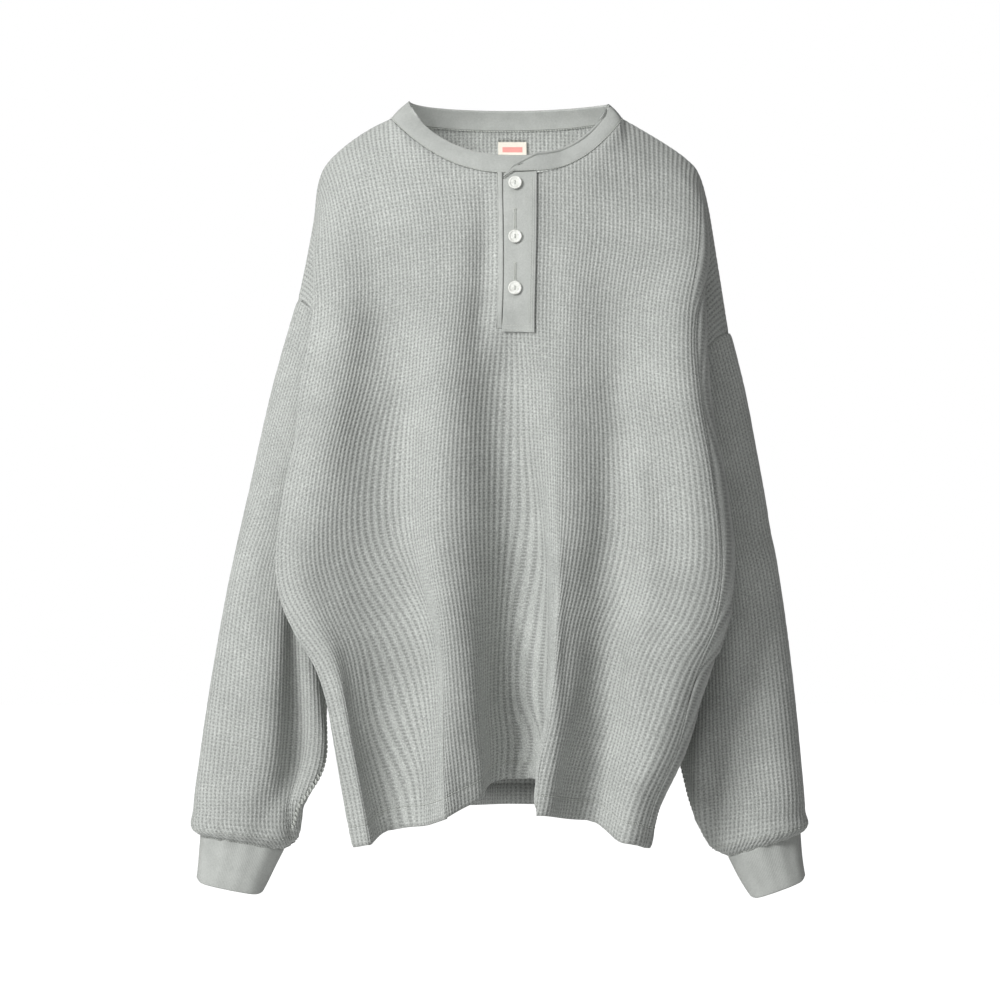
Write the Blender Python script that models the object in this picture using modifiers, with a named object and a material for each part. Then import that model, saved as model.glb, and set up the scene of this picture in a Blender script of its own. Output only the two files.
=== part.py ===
"""A long-sleeved waffle-knit henley top, hanging open and hollow as if worn.

The front and back are flat panels cut square, 600 mm wide, which join at the shoulders, sides and
armholes. Each sleeve is a tube sewn into its armhole. A panel is lofted downwards through a few
sections; each section is one course of the knit, from side seam to side seam round its folds.
Metres, +Z up, the front faces -Y. The origin is the middle of the neck, where a wearer's neck
and shoulders hold the garment.
"""
import math

import bmesh
import bpy
import numpy as np
from mathutils import Vector

COLLECTION = "thermal_top"

# Cut sizes. A height in the cut is the distance down a wale of the knit from the level of the neck.
HALF_PANEL = 0.300
NECK_HALF = 0.115
ARMHOLE_TOP = 0.060
UNDERARM = 0.300
HEM = 0.658
NECKBAND_WIDTH = 0.022
CENTRE_LINE = -0.011
FRONT_CENTRE_TOP = 0.003
BACK_CENTRE_TOP = -0.005
CENTRE_HEM = -0.010
FRONT_RETURN = 0.046
BACK_RETURN = 0.061

# Wall thicknesses and clearances.
KNIT = 0.0020
HEM_KNIT = 0.0030
BAND = 0.0026
CUFF = 0.0030
PLACKET = 0.0016
LABEL = 0.0012
CLEAR = 0.0003
LAYER_GAP = 0.0009
HALF_GAP = 0.0002

# Grid of the panels and sleeves.
UPPER_ROWS = 10
LOWER_ROWS = 14
SHOULDER_COLUMNS = 13
NECK_LEFT_COLUMNS = 9
SLIT_COLUMNS = 3
NECK_RIGHT_COLUMNS = 8
BACK_NECK_COLUMNS = 14
SLEEVE_ROWS = 20
HALF_POINTS = 32

# The slit for the placket, in the cut of the front.
SLIT_LEFT = -0.017
SLIT_RIGHT = 0.020
SLIT_ROWS = 6
OVERLAP_LEFT = -0.0115
OVERLAP_RIGHT = 0.0215
OVERLAP_BOTTOM = 0.209
OVERLAP_COLUMNS = 5
CORNER_DROP = 0.008
CORNER_WIDTH = 0.010

BUTTON_HEIGHTS = (0.066, 0.116, 0.165)
BUTTON_ACROSS = 0.003
BUTTON_RADIUS = 0.0065
BUTTON_THICK = 0.0022
BUTTON_RIM = 0.0011
BUTTON_HOLE_RADIUS = 0.0008
BUTTON_HOLE_APART = 0.0026

LABEL_WIDTH = 0.029
LABEL_ACROSS = 0.006
LABEL_TOP = 0.016
LABEL_HEIGHT = 0.026

# One row for each section of the front: its height in the cut, the X of its left and right fold
# edges, how far it stands forward, the depth of its folds, the radius of its sagging course, how
# far the side is pushed in behind each fold edge, how much it follows the dips of the hem, and
# how far the middle trough leans under the ridge beside it.
FRONT_SECTIONS = (
    # height, left, right, reach, fold, course_radius, tuck_left, tuck_right, hem_share, lean
    (0.105, -0.189, 0.178, 0.062, 0.003, 0.52, 0.010, 0.010, 0.00, 0.000),
    (0.160, -0.190, 0.176, 0.073, 0.006, 0.48, 0.018, 0.018, 0.00, 0.000),
    (0.225, -0.202, 0.179, 0.079, 0.010, 0.42, 0.030, 0.028, 0.00, 0.000),
    (0.300, -0.216, 0.187, 0.083, 0.017, 0.36, 0.040, 0.036, 0.00, 0.000),
    (0.385, -0.222, 0.194, 0.085, 0.026, 0.33, 0.042, 0.040, 0.00, 0.002),
    (0.430, -0.209, 0.188, 0.085, 0.031, 0.33, 0.030, 0.032, 0.03, 0.003),
    (0.475, -0.189, 0.175, 0.085, 0.036, 0.33, 0.016, 0.018, 0.10, 0.004),
    (0.565, -0.167, 0.152, 0.085, 0.044, 0.32, 0.006, 0.008, 0.45, 0.008),
    (0.620, -0.154, 0.130, 0.085, 0.049, 0.30, 0.002, 0.002, 0.80, 0.011),
    (0.658, -0.146, 0.122, 0.085, 0.052, 0.29, 0.000, 0.000, 1.00, 0.012),
)
BACK_SECTIONS = (
    (0.105, -0.188, 0.178, 0.068, 0.003, 0.60, 0.008, 0.008, 0.00, 0.000),
    (0.160, -0.190, 0.180, 0.083, 0.006, 0.55, 0.015, 0.019, 0.00, 0.000),
    (0.225, -0.200, 0.184, 0.090, 0.010, 0.50, 0.029, 0.031, 0.00, 0.000),
    (0.300, -0.208, 0.188, 0.092, 0.016, 0.44, 0.036, 0.035, 0.00, 0.000),
    (0.385, -0.206, 0.186, 0.094, 0.024, 0.40, 0.028, 0.030, 0.00, 0.000),
    (0.430, -0.197, 0.180, 0.094, 0.029, 0.39, 0.020, 0.022, 0.03, 0.000),
    (0.475, -0.184, 0.170, 0.094, 0.034, 0.38, 0.012, 0.014, 0.10, 0.000),
    (0.565, -0.164, 0.150, 0.093, 0.042, 0.36, 0.004, 0.006, 0.45, 0.000),
    (0.620, -0.152, 0.130, 0.092, 0.047, 0.34, 0.001, 0.001, 0.80, 0.000),
    (0.658, -0.145, 0.122, 0.091, 0.050, 0.33, 0.000, 0.000, 1.00, 0.000),
)

# One row for each fold line that runs down a panel: where it lies between the two fold edges at
# the chest and at the hem, how far it stands out (1) or in (-1), and how far the hem dips there.
FRONT_FOLDS = (
    # at_chest, at_hem, height, hem_dip
    (0.000, 0.000, 0.20, 0.036),
    (0.060, 0.035, 0.50, 0.034),
    (0.200, 0.155, -0.65, 0.020),
    (0.370, 0.307, 1.00, 0.007),
    (0.510, 0.550, -1.45, -0.024),
    (0.660, 0.655, 1.00, 0.004),
    (0.765, 0.806, -0.70, 0.012),
    (0.940, 0.950, 0.60, 0.032),
    (1.000, 1.000, 0.20, 0.036),
)
BACK_FOLDS = (
    (0.000, 0.000, 0.20, 0.036),
    (0.070, 0.050, 0.60, 0.034),
    (0.240, 0.210, -0.80, 0.018),
    (0.400, 0.380, 0.90, 0.010),
    (0.560, 0.560, -0.70, 0.006),
    (0.700, 0.730, 1.00, 0.008),
    (0.830, 0.830, -0.90, 0.018),
    (0.930, 0.940, 0.60, 0.040),
    (1.000, 1.000, 0.20, 0.040),
)

# The shoulder seam from the neck, over the tip of the shoulder, to the top of the armhole.
SHOULDER_LEFT = (
    # x, y, z
    (-0.117, 0.004, 0.003),
    (-0.139, 0.005, -0.008),
    (-0.162, 0.005, -0.024),
    (-0.180, 0.005, -0.042),
    (-0.188, 0.005, -0.062),
    (-0.192, 0.006, -0.095),
    (-0.199, 0.006, -0.134),
    (-0.207, 0.005, -0.173),
)
SHOULDER_RIGHT = (
    (0.107, 0.004, 0.003),
    (0.128, 0.005, -0.009),
    (0.151, 0.005, -0.023),
    (0.169, 0.005, -0.036),
    (0.181, 0.005, -0.050),
    (0.190, 0.006, -0.080),
    (0.199, 0.006, -0.134),
    (0.210, 0.005, -0.205),
)

# The side seam from the underarm to the hem.
SIDE_SEAM = (
    # height, left_x, right_x, y, z
    (0.300, -0.174, 0.147, 0.005, -0.366),
    (0.385, -0.167, 0.142, 0.006, -0.446),
    (0.475, -0.165, 0.146, 0.007, -0.528),
    (0.565, -0.160, 0.145, 0.006, -0.609),
    (0.620, -0.152, 0.130, 0.006, -0.658),
    (0.658, -0.143, 0.119, 0.006, -0.693),
)

# One row for each ring of a sleeve, from the armhole to the cuff: the X and Z of its outer and
# inner ends, half its depth, the Y of its middle, how far its front and back swing inwards, the
# depth of the groove down its front, and how far its inner end comes to a point, as a slit does.
SLEEVE_LEFT = (
    # outer_x, outer_z, inner_x, inner_z, depth, middle, swing, groove, point
    (-0.207, -0.173, -0.174, -0.366, 0.041, 0.005, 0.040, 0.000, 1.00),
    (-0.229, -0.250, -0.182, -0.408, 0.043, 0.006, 0.026, 0.000, 0.55),
    (-0.247, -0.327, -0.183, -0.458, 0.045, 0.008, 0.010, 0.000, 0.20),
    (-0.266, -0.419, -0.180, -0.508, 0.046, 0.010, 0.000, 0.001, 0.00),
    (-0.283, -0.520, -0.175, -0.570, 0.046, 0.010, 0.000, 0.005, 0.00),
    (-0.296, -0.603, -0.176, -0.617, 0.043, 0.009, 0.000, 0.009, 0.00),
    (-0.305, -0.662, -0.194, -0.660, 0.037, 0.006, 0.000, 0.007, 0.00),
    (-0.306, -0.679, -0.206, -0.690, 0.031, 0.004, 0.000, 0.003, 0.00),
    (-0.300, -0.687, -0.219, -0.702, 0.024, 0.002, 0.000, 0.000, 0.00),
)
SLEEVE_RIGHT = (
    (0.210, -0.205, 0.147, -0.366, 0.041, 0.005, 0.040, 0.000, 1.00),
    (0.222, -0.262, 0.156, -0.408, 0.043, 0.006, 0.030, 0.000, 0.55),
    (0.233, -0.332, 0.158, -0.458, 0.045, 0.008, 0.014, 0.000, 0.20),
    (0.248, -0.426, 0.156, -0.510, 0.047, 0.010, 0.000, 0.000, 0.00),
    (0.262, -0.522, 0.159, -0.572, 0.046, 0.010, 0.000, 0.002, 0.00),
    (0.273, -0.605, 0.165, -0.630, 0.043, 0.009, 0.000, 0.004, 0.00),
    (0.280, -0.664, 0.183, -0.680, 0.037, 0.006, 0.000, 0.006, 0.00),
    (0.281, -0.677, 0.196, -0.700, 0.031, 0.004, 0.000, 0.003, 0.00),
    (0.278, -0.684, 0.208, -0.709, 0.024, 0.002, 0.000, 0.000, 0.00),
)
GROOVE_ANGLE = 1.95
GROOVE_WIDTH = 0.33

CUFF_LEFT = (
    # outer_x, outer_z, inner_x, inner_z, depth, middle, swing, groove, point
    (-0.300, -0.687, -0.219, -0.702, 0.024, 0.002, 0.000, 0.000, 0.00),
    (-0.302, -0.712, -0.229, -0.722, 0.022, 0.001, 0.000, 0.000, 0.00),
    (-0.304, -0.734, -0.240, -0.747, 0.020, 0.000, 0.000, 0.000, 0.00),
)
CUFF_RIGHT = (
    (0.278, -0.684, 0.208, -0.709, 0.024, 0.002, 0.000, 0.000, 0.00),
    (0.280, -0.709, 0.218, -0.729, 0.022, 0.001, 0.000, 0.000, 0.00),
    (0.283, -0.732, 0.230, -0.751, 0.020, 0.000, 0.000, 0.000, 0.00),
)
CUFF_ROWS = 4

# The neckline seam dips from the shoulder points to the middle of the front and back.
FRONT_NECK_DROP = 0.057
FRONT_NECK_FORWARD = 0.054
BACK_NECK_DROP = 0.008
BACK_NECK_BEHIND = 0.046
NECK_MIDDLE_X = -0.005

# How the neckband leans from its seam to its upper edge: inwards, and up.
BAND_IN_SIDE = 0.018
BAND_IN_FRONT = 0.012
BAND_BULGE = 0.0012
BAND_ROWS = (0, 1 / 3, 2 / 3, 1)

# The right end of the neckband lies over its left end. It rises from its seam over a short run.
BAND_OVERLAP_LIFT = 0.0036
BAND_LIFT_END = 0.048
BAND_LIFT_RUN = 0.030
BAND_TAPER = 0.90
BAND_TAPER_START = 0.024


def clear_scene():
    for item in list(bpy.data.objects):
        bpy.data.objects.remove(item, do_unlink=True)


def unit(vectors):
    lengths = np.linalg.norm(vectors, axis=-1, keepdims=True)
    return vectors / np.maximum(lengths, 1e-12)


def through(knots, values, at, start=None):
    """A smooth curve through values at knots, read at the places in at."""
    knots, values, at = (np.asarray(item, float) for item in (knots, values, at))
    flat = values.reshape(len(knots), -1)
    steps = np.diff(knots)[:, None]
    rises = np.diff(flat, axis=0) / steps
    slopes = np.vstack((rises[:1], rises, rises[-1:]))[: len(knots)]
    slopes[1:-1] = (rises[:-1] * steps[1:] + rises[1:] * steps[:-1]) / (steps[:-1] + steps[1:])
    slopes[-1] = rises[-1]
    if start is not None:
        slopes[0] = start
    i = np.clip(np.searchsorted(knots, at, side="right") - 1, 0, len(knots) - 2)
    step = steps[i, 0]
    t = ((at - knots[i]) / step)[:, None]
    step = step[:, None]
    result = (
        (1 + 2 * t) * (1 - t) ** 2 * flat[i]
        + t * (1 - t) ** 2 * step * slopes[i]
        + t**2 * (3 - 2 * t) * flat[i + 1]
        + t**2 * (t - 1) * step * slopes[i + 1]
    )
    return result.reshape((len(at),) + values.shape[1:])


def along(points, places):
    """Points at the given shares of the length of a smooth curve through points."""
    points = np.asarray(points, float)
    fine = through(np.arange(len(points)), points, np.linspace(0, len(points) - 1, 12 * len(points)))
    lengths = np.concatenate(([0.0], np.cumsum(np.linalg.norm(np.diff(fine, axis=0), axis=1))))
    wanted = np.asarray(places) * lengths[-1]
    return np.stack([np.interp(wanted, lengths, fine[:, k]) for k in range(3)], axis=1)


def wave(places, values, at):
    """Crests and troughs joined by half cosines."""
    i = np.clip(np.searchsorted(places, at, side="right") - 1, 0, len(places) - 2)
    t = (at - places[i]) / (places[i + 1] - places[i])
    return values[i] + (values[i + 1] - values[i]) * (1 - np.cos(np.pi * np.clip(t, 0, 1))) / 2


def ring_point(ring, angle):
    """A point of a sleeve ring. Angle 0 is its outer end, half a turn its inner end; the front lies
    between them, and angles past half a turn go round the back."""
    outer_x, outer_z, inner_x, inner_z, depth, middle, swing, groove, point = ring
    outer = np.array((outer_x, middle, outer_z))
    inner = np.array((inner_x, middle, inner_z))
    side = math.copysign(1.0, outer_x)
    sine = math.sin(angle)
    facing = -1.0 if sine >= 0 else 1.0
    dent = groove * math.exp(-(((angle - GROOVE_ANGLE) / GROOVE_WIDTH) ** 2))
    cosine = math.cos(angle)
    sharp = point * (1 - cosine) / 2
    straight = 1 - 2 * min(angle % math.tau, math.tau - angle % math.tau) / math.pi
    cosine += (straight - cosine) * sharp
    inwards = -side * swing * abs(sine) ** 1.5 * (1 + cosine) / 2
    outwards = facing * (depth - dent) * abs(sine) ** (0.9 + 1.1 * sharp)
    return (outer + inner) / 2 + (outer - inner) / 2 * cosine + np.array((inwards, outwards, 0.0))


def seam_end(height, side, facing):
    """Where a course of the front or back ends: on the armhole, or below it on the side seam."""
    sleeve = SLEEVE_LEFT if side < 0 else SLEEVE_RIGHT
    if height <= UNDERARM:
        share = (height - ARMHOLE_TOP) / (UNDERARM - ARMHOLE_TOP)
        return ring_point(sleeve[0], -facing * math.pi * share)
    table = np.array(SIDE_SEAM)
    left_x, right_x, y, z = through(table[:, 0], table[:, 1:], [height])[0]
    return np.array((left_x if side < 0 else right_x, y, z))


def centre_x(height, facing):
    """The X of the middle wale of a panel, which drifts a little as the cloth hangs."""
    top = FRONT_CENTRE_TOP if facing < 0 else BACK_CENTRE_TOP
    share = min(max((height - 0.16) / (HEM - 0.16), 0.0), 1.0)
    return top + (CENTRE_HEM - top) * share


def section_curve(section, folds, facing):
    """One course of a panel in two halves, from its left seam to its middle wale, and from there to
    its right seam. facing is -1 for the front."""
    height, left, right, reach, fold, radius, tuck_left, tuck_right, hem_share, lean = section
    table = np.array(folds)
    down = (height - FRONT_SECTIONS[0][0]) / (HEM - FRONT_SECTIONS[0][0])
    places = table[:, 0] + (table[:, 1] - table[:, 0]) * down
    middle = (centre_x(height, facing) - left) / (right - left)
    left_share = np.linspace(0, middle, HALF_POINTS + 1)
    across = np.concatenate((left_share, np.linspace(middle, 1, HALF_POINTS + 1)[1:]))
    crest = wave(places, table[:, 2], across)
    dip = wave(places, table[:, 3], across)
    bow = 1 - 0.13 * (2 * across - 1) ** 2 - 0.10 * (2 * across - 1) ** 8
    x = left + (right - left) * across
    y = facing * (reach * bow + fold * crest / 2)
    under = np.clip(-crest, 0, None) * np.exp(-(((across - 0.57) / 0.09) ** 2))
    sag = (x - CENTRE_LINE) ** 2 / (2 * radius)
    z = -height - sag * (1 - hem_share) - dip * hem_share
    face = np.stack((x + lean * under, y, z), axis=1)
    deepest = FRONT_RETURN if facing < 0 else BACK_RETURN
    back_y = facing * min(deepest, abs(y[0]) - 0.012)

    def behind(edge, side, tuck):
        """The cloth from a fold edge back to the seam: round the fold, in, and along the side."""
        end = seam_end(height, side, facing)
        drop = end[2] - edge[2]
        round_fold = edge + np.array((-side * 0.001, -facing * 0.006, 0.10 * drop))
        turned_x = edge[0] - side * (0.004 + 0.3 * tuck)
        turned = np.array((turned_x, back_y + facing * 0.001, edge[2] + 0.35 * drop))
        tucked_x = edge[0] - side * (0.006 + tuck)
        tucked = np.array((tucked_x, back_y - facing * 0.008, edge[2] + 0.70 * drop))
        beside = tucked + (end - tucked) * np.array((0.75, 0.55, 0.85))
        return [round_fold, turned, tucked, beside, end]

    left_part = behind(face[0], -1, tuck_left)
    right_part = behind(face[-1], 1, tuck_right)
    return (
        np.vstack((left_part[::-1], face[: HALF_POINTS + 1])),
        np.vstack((face[HALF_POINTS:], right_part)),
    )


def neck_edge(across, facing):
    """The seam under the neckband. across runs from -1 at the left shoulder to 1 at the right."""
    across = np.asarray(across, float)
    half = (SHOULDER_RIGHT[0][0] - SHOULDER_LEFT[0][0]) / 2
    r = np.abs(across)
    drop = FRONT_NECK_DROP if facing < 0 else BACK_NECK_DROP
    forward = FRONT_NECK_FORWARD if facing < 0 else BACK_NECK_BEHIND
    middle = FRONT_CENTRE_TOP if facing < 0 else BACK_CENTRE_TOP
    x = NECK_MIDDLE_X + half * across + (middle - NECK_MIDDLE_X) * (1 - r**2)
    y = SHOULDER_LEFT[0][1] + facing * forward * np.sqrt(np.clip(1 - r**2, 0, 1))
    z = SHOULDER_LEFT[0][2] - drop * (1 - r**2.5)
    return np.stack((x, y, z), axis=-1)


def top_point(u, facing):
    """The upper edge of a panel at a wale: on the neckline, or on the shoulder seam."""
    if abs(u) <= NECK_HALF:
        return neck_edge(u / NECK_HALF, facing)
    shoulder = SHOULDER_LEFT if u < 0 else SHOULDER_RIGHT
    share = (abs(u) - NECK_HALF) / (HALF_PANEL - NECK_HALF)
    return along(shoulder, [share])[0]


def top_height(u, facing):
    """The height in the cut of the upper edge at a wale."""
    shoulder_height = -0.013
    if abs(u) <= NECK_HALF:
        drop = FRONT_NECK_DROP if facing < 0 else BACK_NECK_DROP
        return shoulder_height + (drop + 0.010) * (1 - abs(u / NECK_HALF) ** 2.5)
    share = (abs(u) - NECK_HALF) / (HALF_PANEL - NECK_HALF)
    return shoulder_height + (ARMHOLE_TOP - shoulder_height) * share


def top_slope(u, facing):
    """The direction in which the cloth leaves its upper edge."""
    at_neck = np.array((0.0, facing * 0.50, -0.86))
    at_shoulder = np.array((0.0, facing * 0.80, -0.60))
    at_arm = np.array((-math.copysign(0.62, u), facing * 0.72, -0.30))
    if abs(u) <= NECK_HALF:
        share = abs(u / NECK_HALF) ** 3
        return unit(at_neck + (at_shoulder - at_neck) * share)
    share = (abs(u) - NECK_HALF) / (HALF_PANEL - NECK_HALF)
    return unit(at_shoulder + (at_arm - at_shoulder) * share**1.5)


class Panel:
    """The front or back as a surface over its flat cut."""

    def __init__(self, sections, folds, facing, columns):
        self.facing = facing
        self.columns = np.array(columns)
        left_places = 1 + self.columns[self.columns < 0] / HALF_PANEL
        right_places = self.columns[self.columns >= 0] / HALF_PANEL
        self.heights = [row[0] for row in sections]
        self.courses = []
        for row in sections:
            left_half, right_half = section_curve(row, folds, facing)
            self.courses.append(np.vstack((along(left_half, left_places), along(right_half, right_places))))
        self.courses = np.array(self.courses)
        self.tops = np.array([top_point(u, facing) for u in self.columns])
        self.top_heights = np.array([top_height(u, facing) for u in self.columns])
        self.slopes = np.array([top_slope(u, facing) for u in self.columns])

    def at_column(self, j, heights):
        u = self.columns[j]
        if abs(u) > HALF_PANEL - 1e-6:
            return np.array([seam_end(height, math.copysign(1, u), self.facing) for height in heights])
        knots = np.concatenate(([self.top_heights[j]], self.heights))
        values = np.vstack((self.tops[j][None], self.courses[:, j]))
        return through(knots, values, heights, start=self.slopes[j])

    def grid(self):
        """Points by row and column: the rows run from the upper edge to the hem."""
        upper = np.linspace(0, 1, UPPER_ROWS + 1)[:-1]
        lower = np.linspace(UNDERARM, HEM, LOWER_ROWS + 1)
        points = []
        for j, top in enumerate(self.top_heights):
            heights = np.concatenate((top + (UNDERARM - top) * upper, lower))
            points.append(self.at_column(j, heights))
        return np.array(points).transpose(1, 0, 2)


def grid_normals(points, outward, closed=False):
    """Normals of a grid of points; outward is 1 or -1."""
    if closed:
        across = np.roll(points, -1, axis=1) - np.roll(points, 1, axis=1)
    else:
        across = np.gradient(points, axis=1)
    down = np.gradient(points, axis=0)
    return unit(np.cross(across, down)) * outward


def grid_faces(rows, columns, closed=False, skip=lambda i, j: False):
    faces = []
    for i in range(rows - 1):
        for j in range(columns if closed else columns - 1):
            if not skip(i, j):
                k = (j + 1) % columns
                faces.append((i * columns + j, i * columns + k, (i + 1) * columns + k, (i + 1) * columns + j))
    return faces


def material(name, colour, roughness):
    result = bpy.data.materials.new(name)
    result.use_nodes = True
    shader = result.node_tree.nodes["Principled BSDF"]
    shader.inputs["Base Color"].default_value = (*colour, 1.0)
    shader.inputs["Roughness"].default_value = roughness
    shader.inputs["Metallic"].default_value = 0.0
    return result


def wall(name, outer, inner, faces, finish):
    """A closed wall: outer faces, the same faces on its inner points, and a rim round each edge."""
    outer, inner = outer.reshape(-1, 3), inner.reshape(-1, 3)
    used = sorted({v for face in faces for v in face})
    order = {v: n for n, v in enumerate(used)}
    count = len(used)
    edges = {}
    for face in faces:
        for a, b in zip(face, face[1:] + face[:1]):
            edges[(a, b)] = edges.get((a, b), 0) + 1
    outer_faces = [tuple(order[v] for v in face) for face in faces]
    inner_faces = [tuple(order[v] + count for v in reversed(face)) for face in faces]
    rim = [
        (order[b], order[a], order[a] + count, order[b] + count)
        for a, b in edges
        if (b, a) not in edges
    ]
    mesh = bpy.data.meshes.new(name)
    mesh.from_pydata(np.vstack((outer[used], inner[used])).tolist(), [], outer_faces + inner_faces + rim)
    bm = bmesh.new()
    bm.from_mesh(mesh)
    bmesh.ops.triangulate(bm, faces=bm.faces)
    bmesh.ops.recalc_face_normals(bm, faces=bm.faces)
    bm.to_mesh(mesh)
    bm.free()
    return add(name, mesh, finish)


def add(name, mesh, finish):
    piece = bpy.data.objects.new(name, mesh)
    mesh.materials.append(finish)
    mesh.shade_smooth()
    mesh.set_sharp_from_angle(angle=math.radians(50))
    PARTS.objects.link(piece)
    return piece


def pull_back(points, closed=False, bottom=False):
    """Draws the seam edges of a grid back by half the gap between two pieces."""
    result = points.copy()
    result[0] += unit(points[1] - points[0]) * HALF_GAP
    if bottom:
        result[-1] += unit(points[-2] - points[-1]) * HALF_GAP
    if not closed:
        result[:, 0] += unit(points[:, 1] - points[:, 0]) * HALF_GAP
        result[:, -1] += unit(points[:, -2] - points[:, -1]) * HALF_GAP
    return result


def panel_grids():
    """The points and normals of the front and back. Where they meet they share their seam's normals."""
    shoulder = np.linspace(NECK_HALF, HALF_PANEL, SHOULDER_COLUMNS + 1)
    front_columns = np.concatenate((
        -shoulder[::-1],
        np.linspace(-NECK_HALF, SLIT_LEFT, NECK_LEFT_COLUMNS + 1)[1:],
        np.linspace(SLIT_LEFT, SLIT_RIGHT, SLIT_COLUMNS + 1)[1:],
        np.linspace(SLIT_RIGHT, NECK_HALF, NECK_RIGHT_COLUMNS + 1)[1:],
        shoulder[1:],
    ))
    back_columns = np.concatenate((
        -shoulder[::-1], np.linspace(-NECK_HALF, NECK_HALF, BACK_NECK_COLUMNS + 1)[1:-1], shoulder,
    ))
    front = Panel(FRONT_SECTIONS, FRONT_FOLDS, -1, front_columns)
    back = Panel(BACK_SECTIONS, BACK_FOLDS, 1, back_columns)
    front_points, back_points = front.grid(), back.grid()
    front_normals = grid_normals(front_points, -1)
    back_normals = grid_normals(back_points, 1)
    below = slice(UPPER_ROWS, None)
    for k in (0, -1):
        shared = unit(front_normals[below, k] + back_normals[below, k])
        front_normals[below, k] = back_normals[below, k] = shared
    n = SHOULDER_COLUMNS + 1
    for part in (slice(None, n), slice(-n, None)):
        shared = unit(front_normals[0, part] + back_normals[0, part])
        front_normals[0, part] = back_normals[0, part] = shared
    return front, back, front_points, back_points, front_normals, back_normals


def in_slit(i, j):
    start = SHOULDER_COLUMNS + NECK_LEFT_COLUMNS
    return i < SLIT_ROWS and start <= j < start + SLIT_COLUMNS


def build_panels(front_points, back_points, front_normals, back_normals, finish):
    """The front with its slit, and the back, each thicker where its hem is turned up."""
    thickness = np.full((UPPER_ROWS + LOWER_ROWS + 1, 1, 1), KNIT)
    thickness[-1] = HEM_KNIT
    for name, points, normals, skip in (
        ("front", front_points, front_normals, in_slit),
        ("back", back_points, back_normals, lambda i, j: False),
    ):
        faces = grid_faces(*points.shape[:2], skip=skip)
        outer = pull_back(points)
        wall(name, outer, outer - normals * thickness, faces, finish)


def build_sleeve(side, front_points, back_points, front_normals, back_normals, finish, cuff_finish):
    """A sleeve tube from the armhole seam to the cuff, and the cuff below it."""
    name, table, cuff_table, k = (
        ("left", SLEEVE_LEFT, CUFF_LEFT, 0) if side < 0 else ("right", SLEEVE_RIGHT, CUFF_RIGHT, -1)
    )
    n = UPPER_ROWS
    angles = [math.pi * i / n for i in range(2 * n)]
    rings = np.array([[ring_point(ring, angle) for angle in angles] for ring in table])
    ends = rings.mean(axis=1)
    knots = np.concatenate(([0.0], np.cumsum(np.linalg.norm(np.diff(ends, axis=0), axis=1))))
    points = through(knots, rings, np.linspace(0, knots[-1], SLEEVE_ROWS + 1))
    points[0] = np.vstack((front_points[: n + 1, k], back_points[1:n, k][::-1]))
    normals = grid_normals(points, side, closed=True)

    cuff_rings = np.array([[ring_point(ring, angle) for angle in angles] for ring in cuff_table])
    last = len(cuff_table) - 1
    cuff_points = through(range(last + 1), cuff_rings, np.linspace(0, last, CUFF_ROWS + 1))
    cuff_normals = grid_normals(cuff_points, side, closed=True)
    if np.dot(normals[2, 5], points[2, 5] - points[2].mean(axis=0)) < 0:
        normals, cuff_normals = -normals, -cuff_normals
    around = np.arange(2 * n)
    at_body = np.vstack((front_normals[: n + 1, k], back_normals[1:n, k][::-1]))
    at_sleeve = normals[0].copy()
    share = np.clip(np.sum(at_body * at_sleeve, axis=1, keepdims=True) / 0.6, 0, 1)
    normals[0] = unit(at_sleeve + at_body * share)
    at_body = unit(at_body + at_sleeve * share)
    front_normals[: n + 1, k] = at_body[: n + 1]
    back_normals[: n + 1, k] = at_body[-around[: n + 1]]
    apart = (1 - share) * CLEAR
    points[0] -= normals[0] * apart
    front_points[: n + 1, k] -= (at_body * apart)[: n + 1]
    back_points[: n + 1, k] -= (at_body * apart)[-around[: n + 1]]
    joint = unit(normals[-1] + cuff_normals[0])
    normals[-1] = cuff_normals[0] = joint

    columns = 2 * n
    outer = pull_back(points, closed=True, bottom=True)
    faces = grid_faces(len(points), columns, closed=True)
    wall(f"sleeve_{name}", outer, outer - normals * KNIT, faces, finish)
    outer = pull_back(cuff_points, closed=True)
    faces = grid_faces(len(cuff_points), columns, closed=True)
    wall(f"cuff_{name}", outer, outer - cuff_normals * CUFF, faces, cuff_finish)


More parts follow.
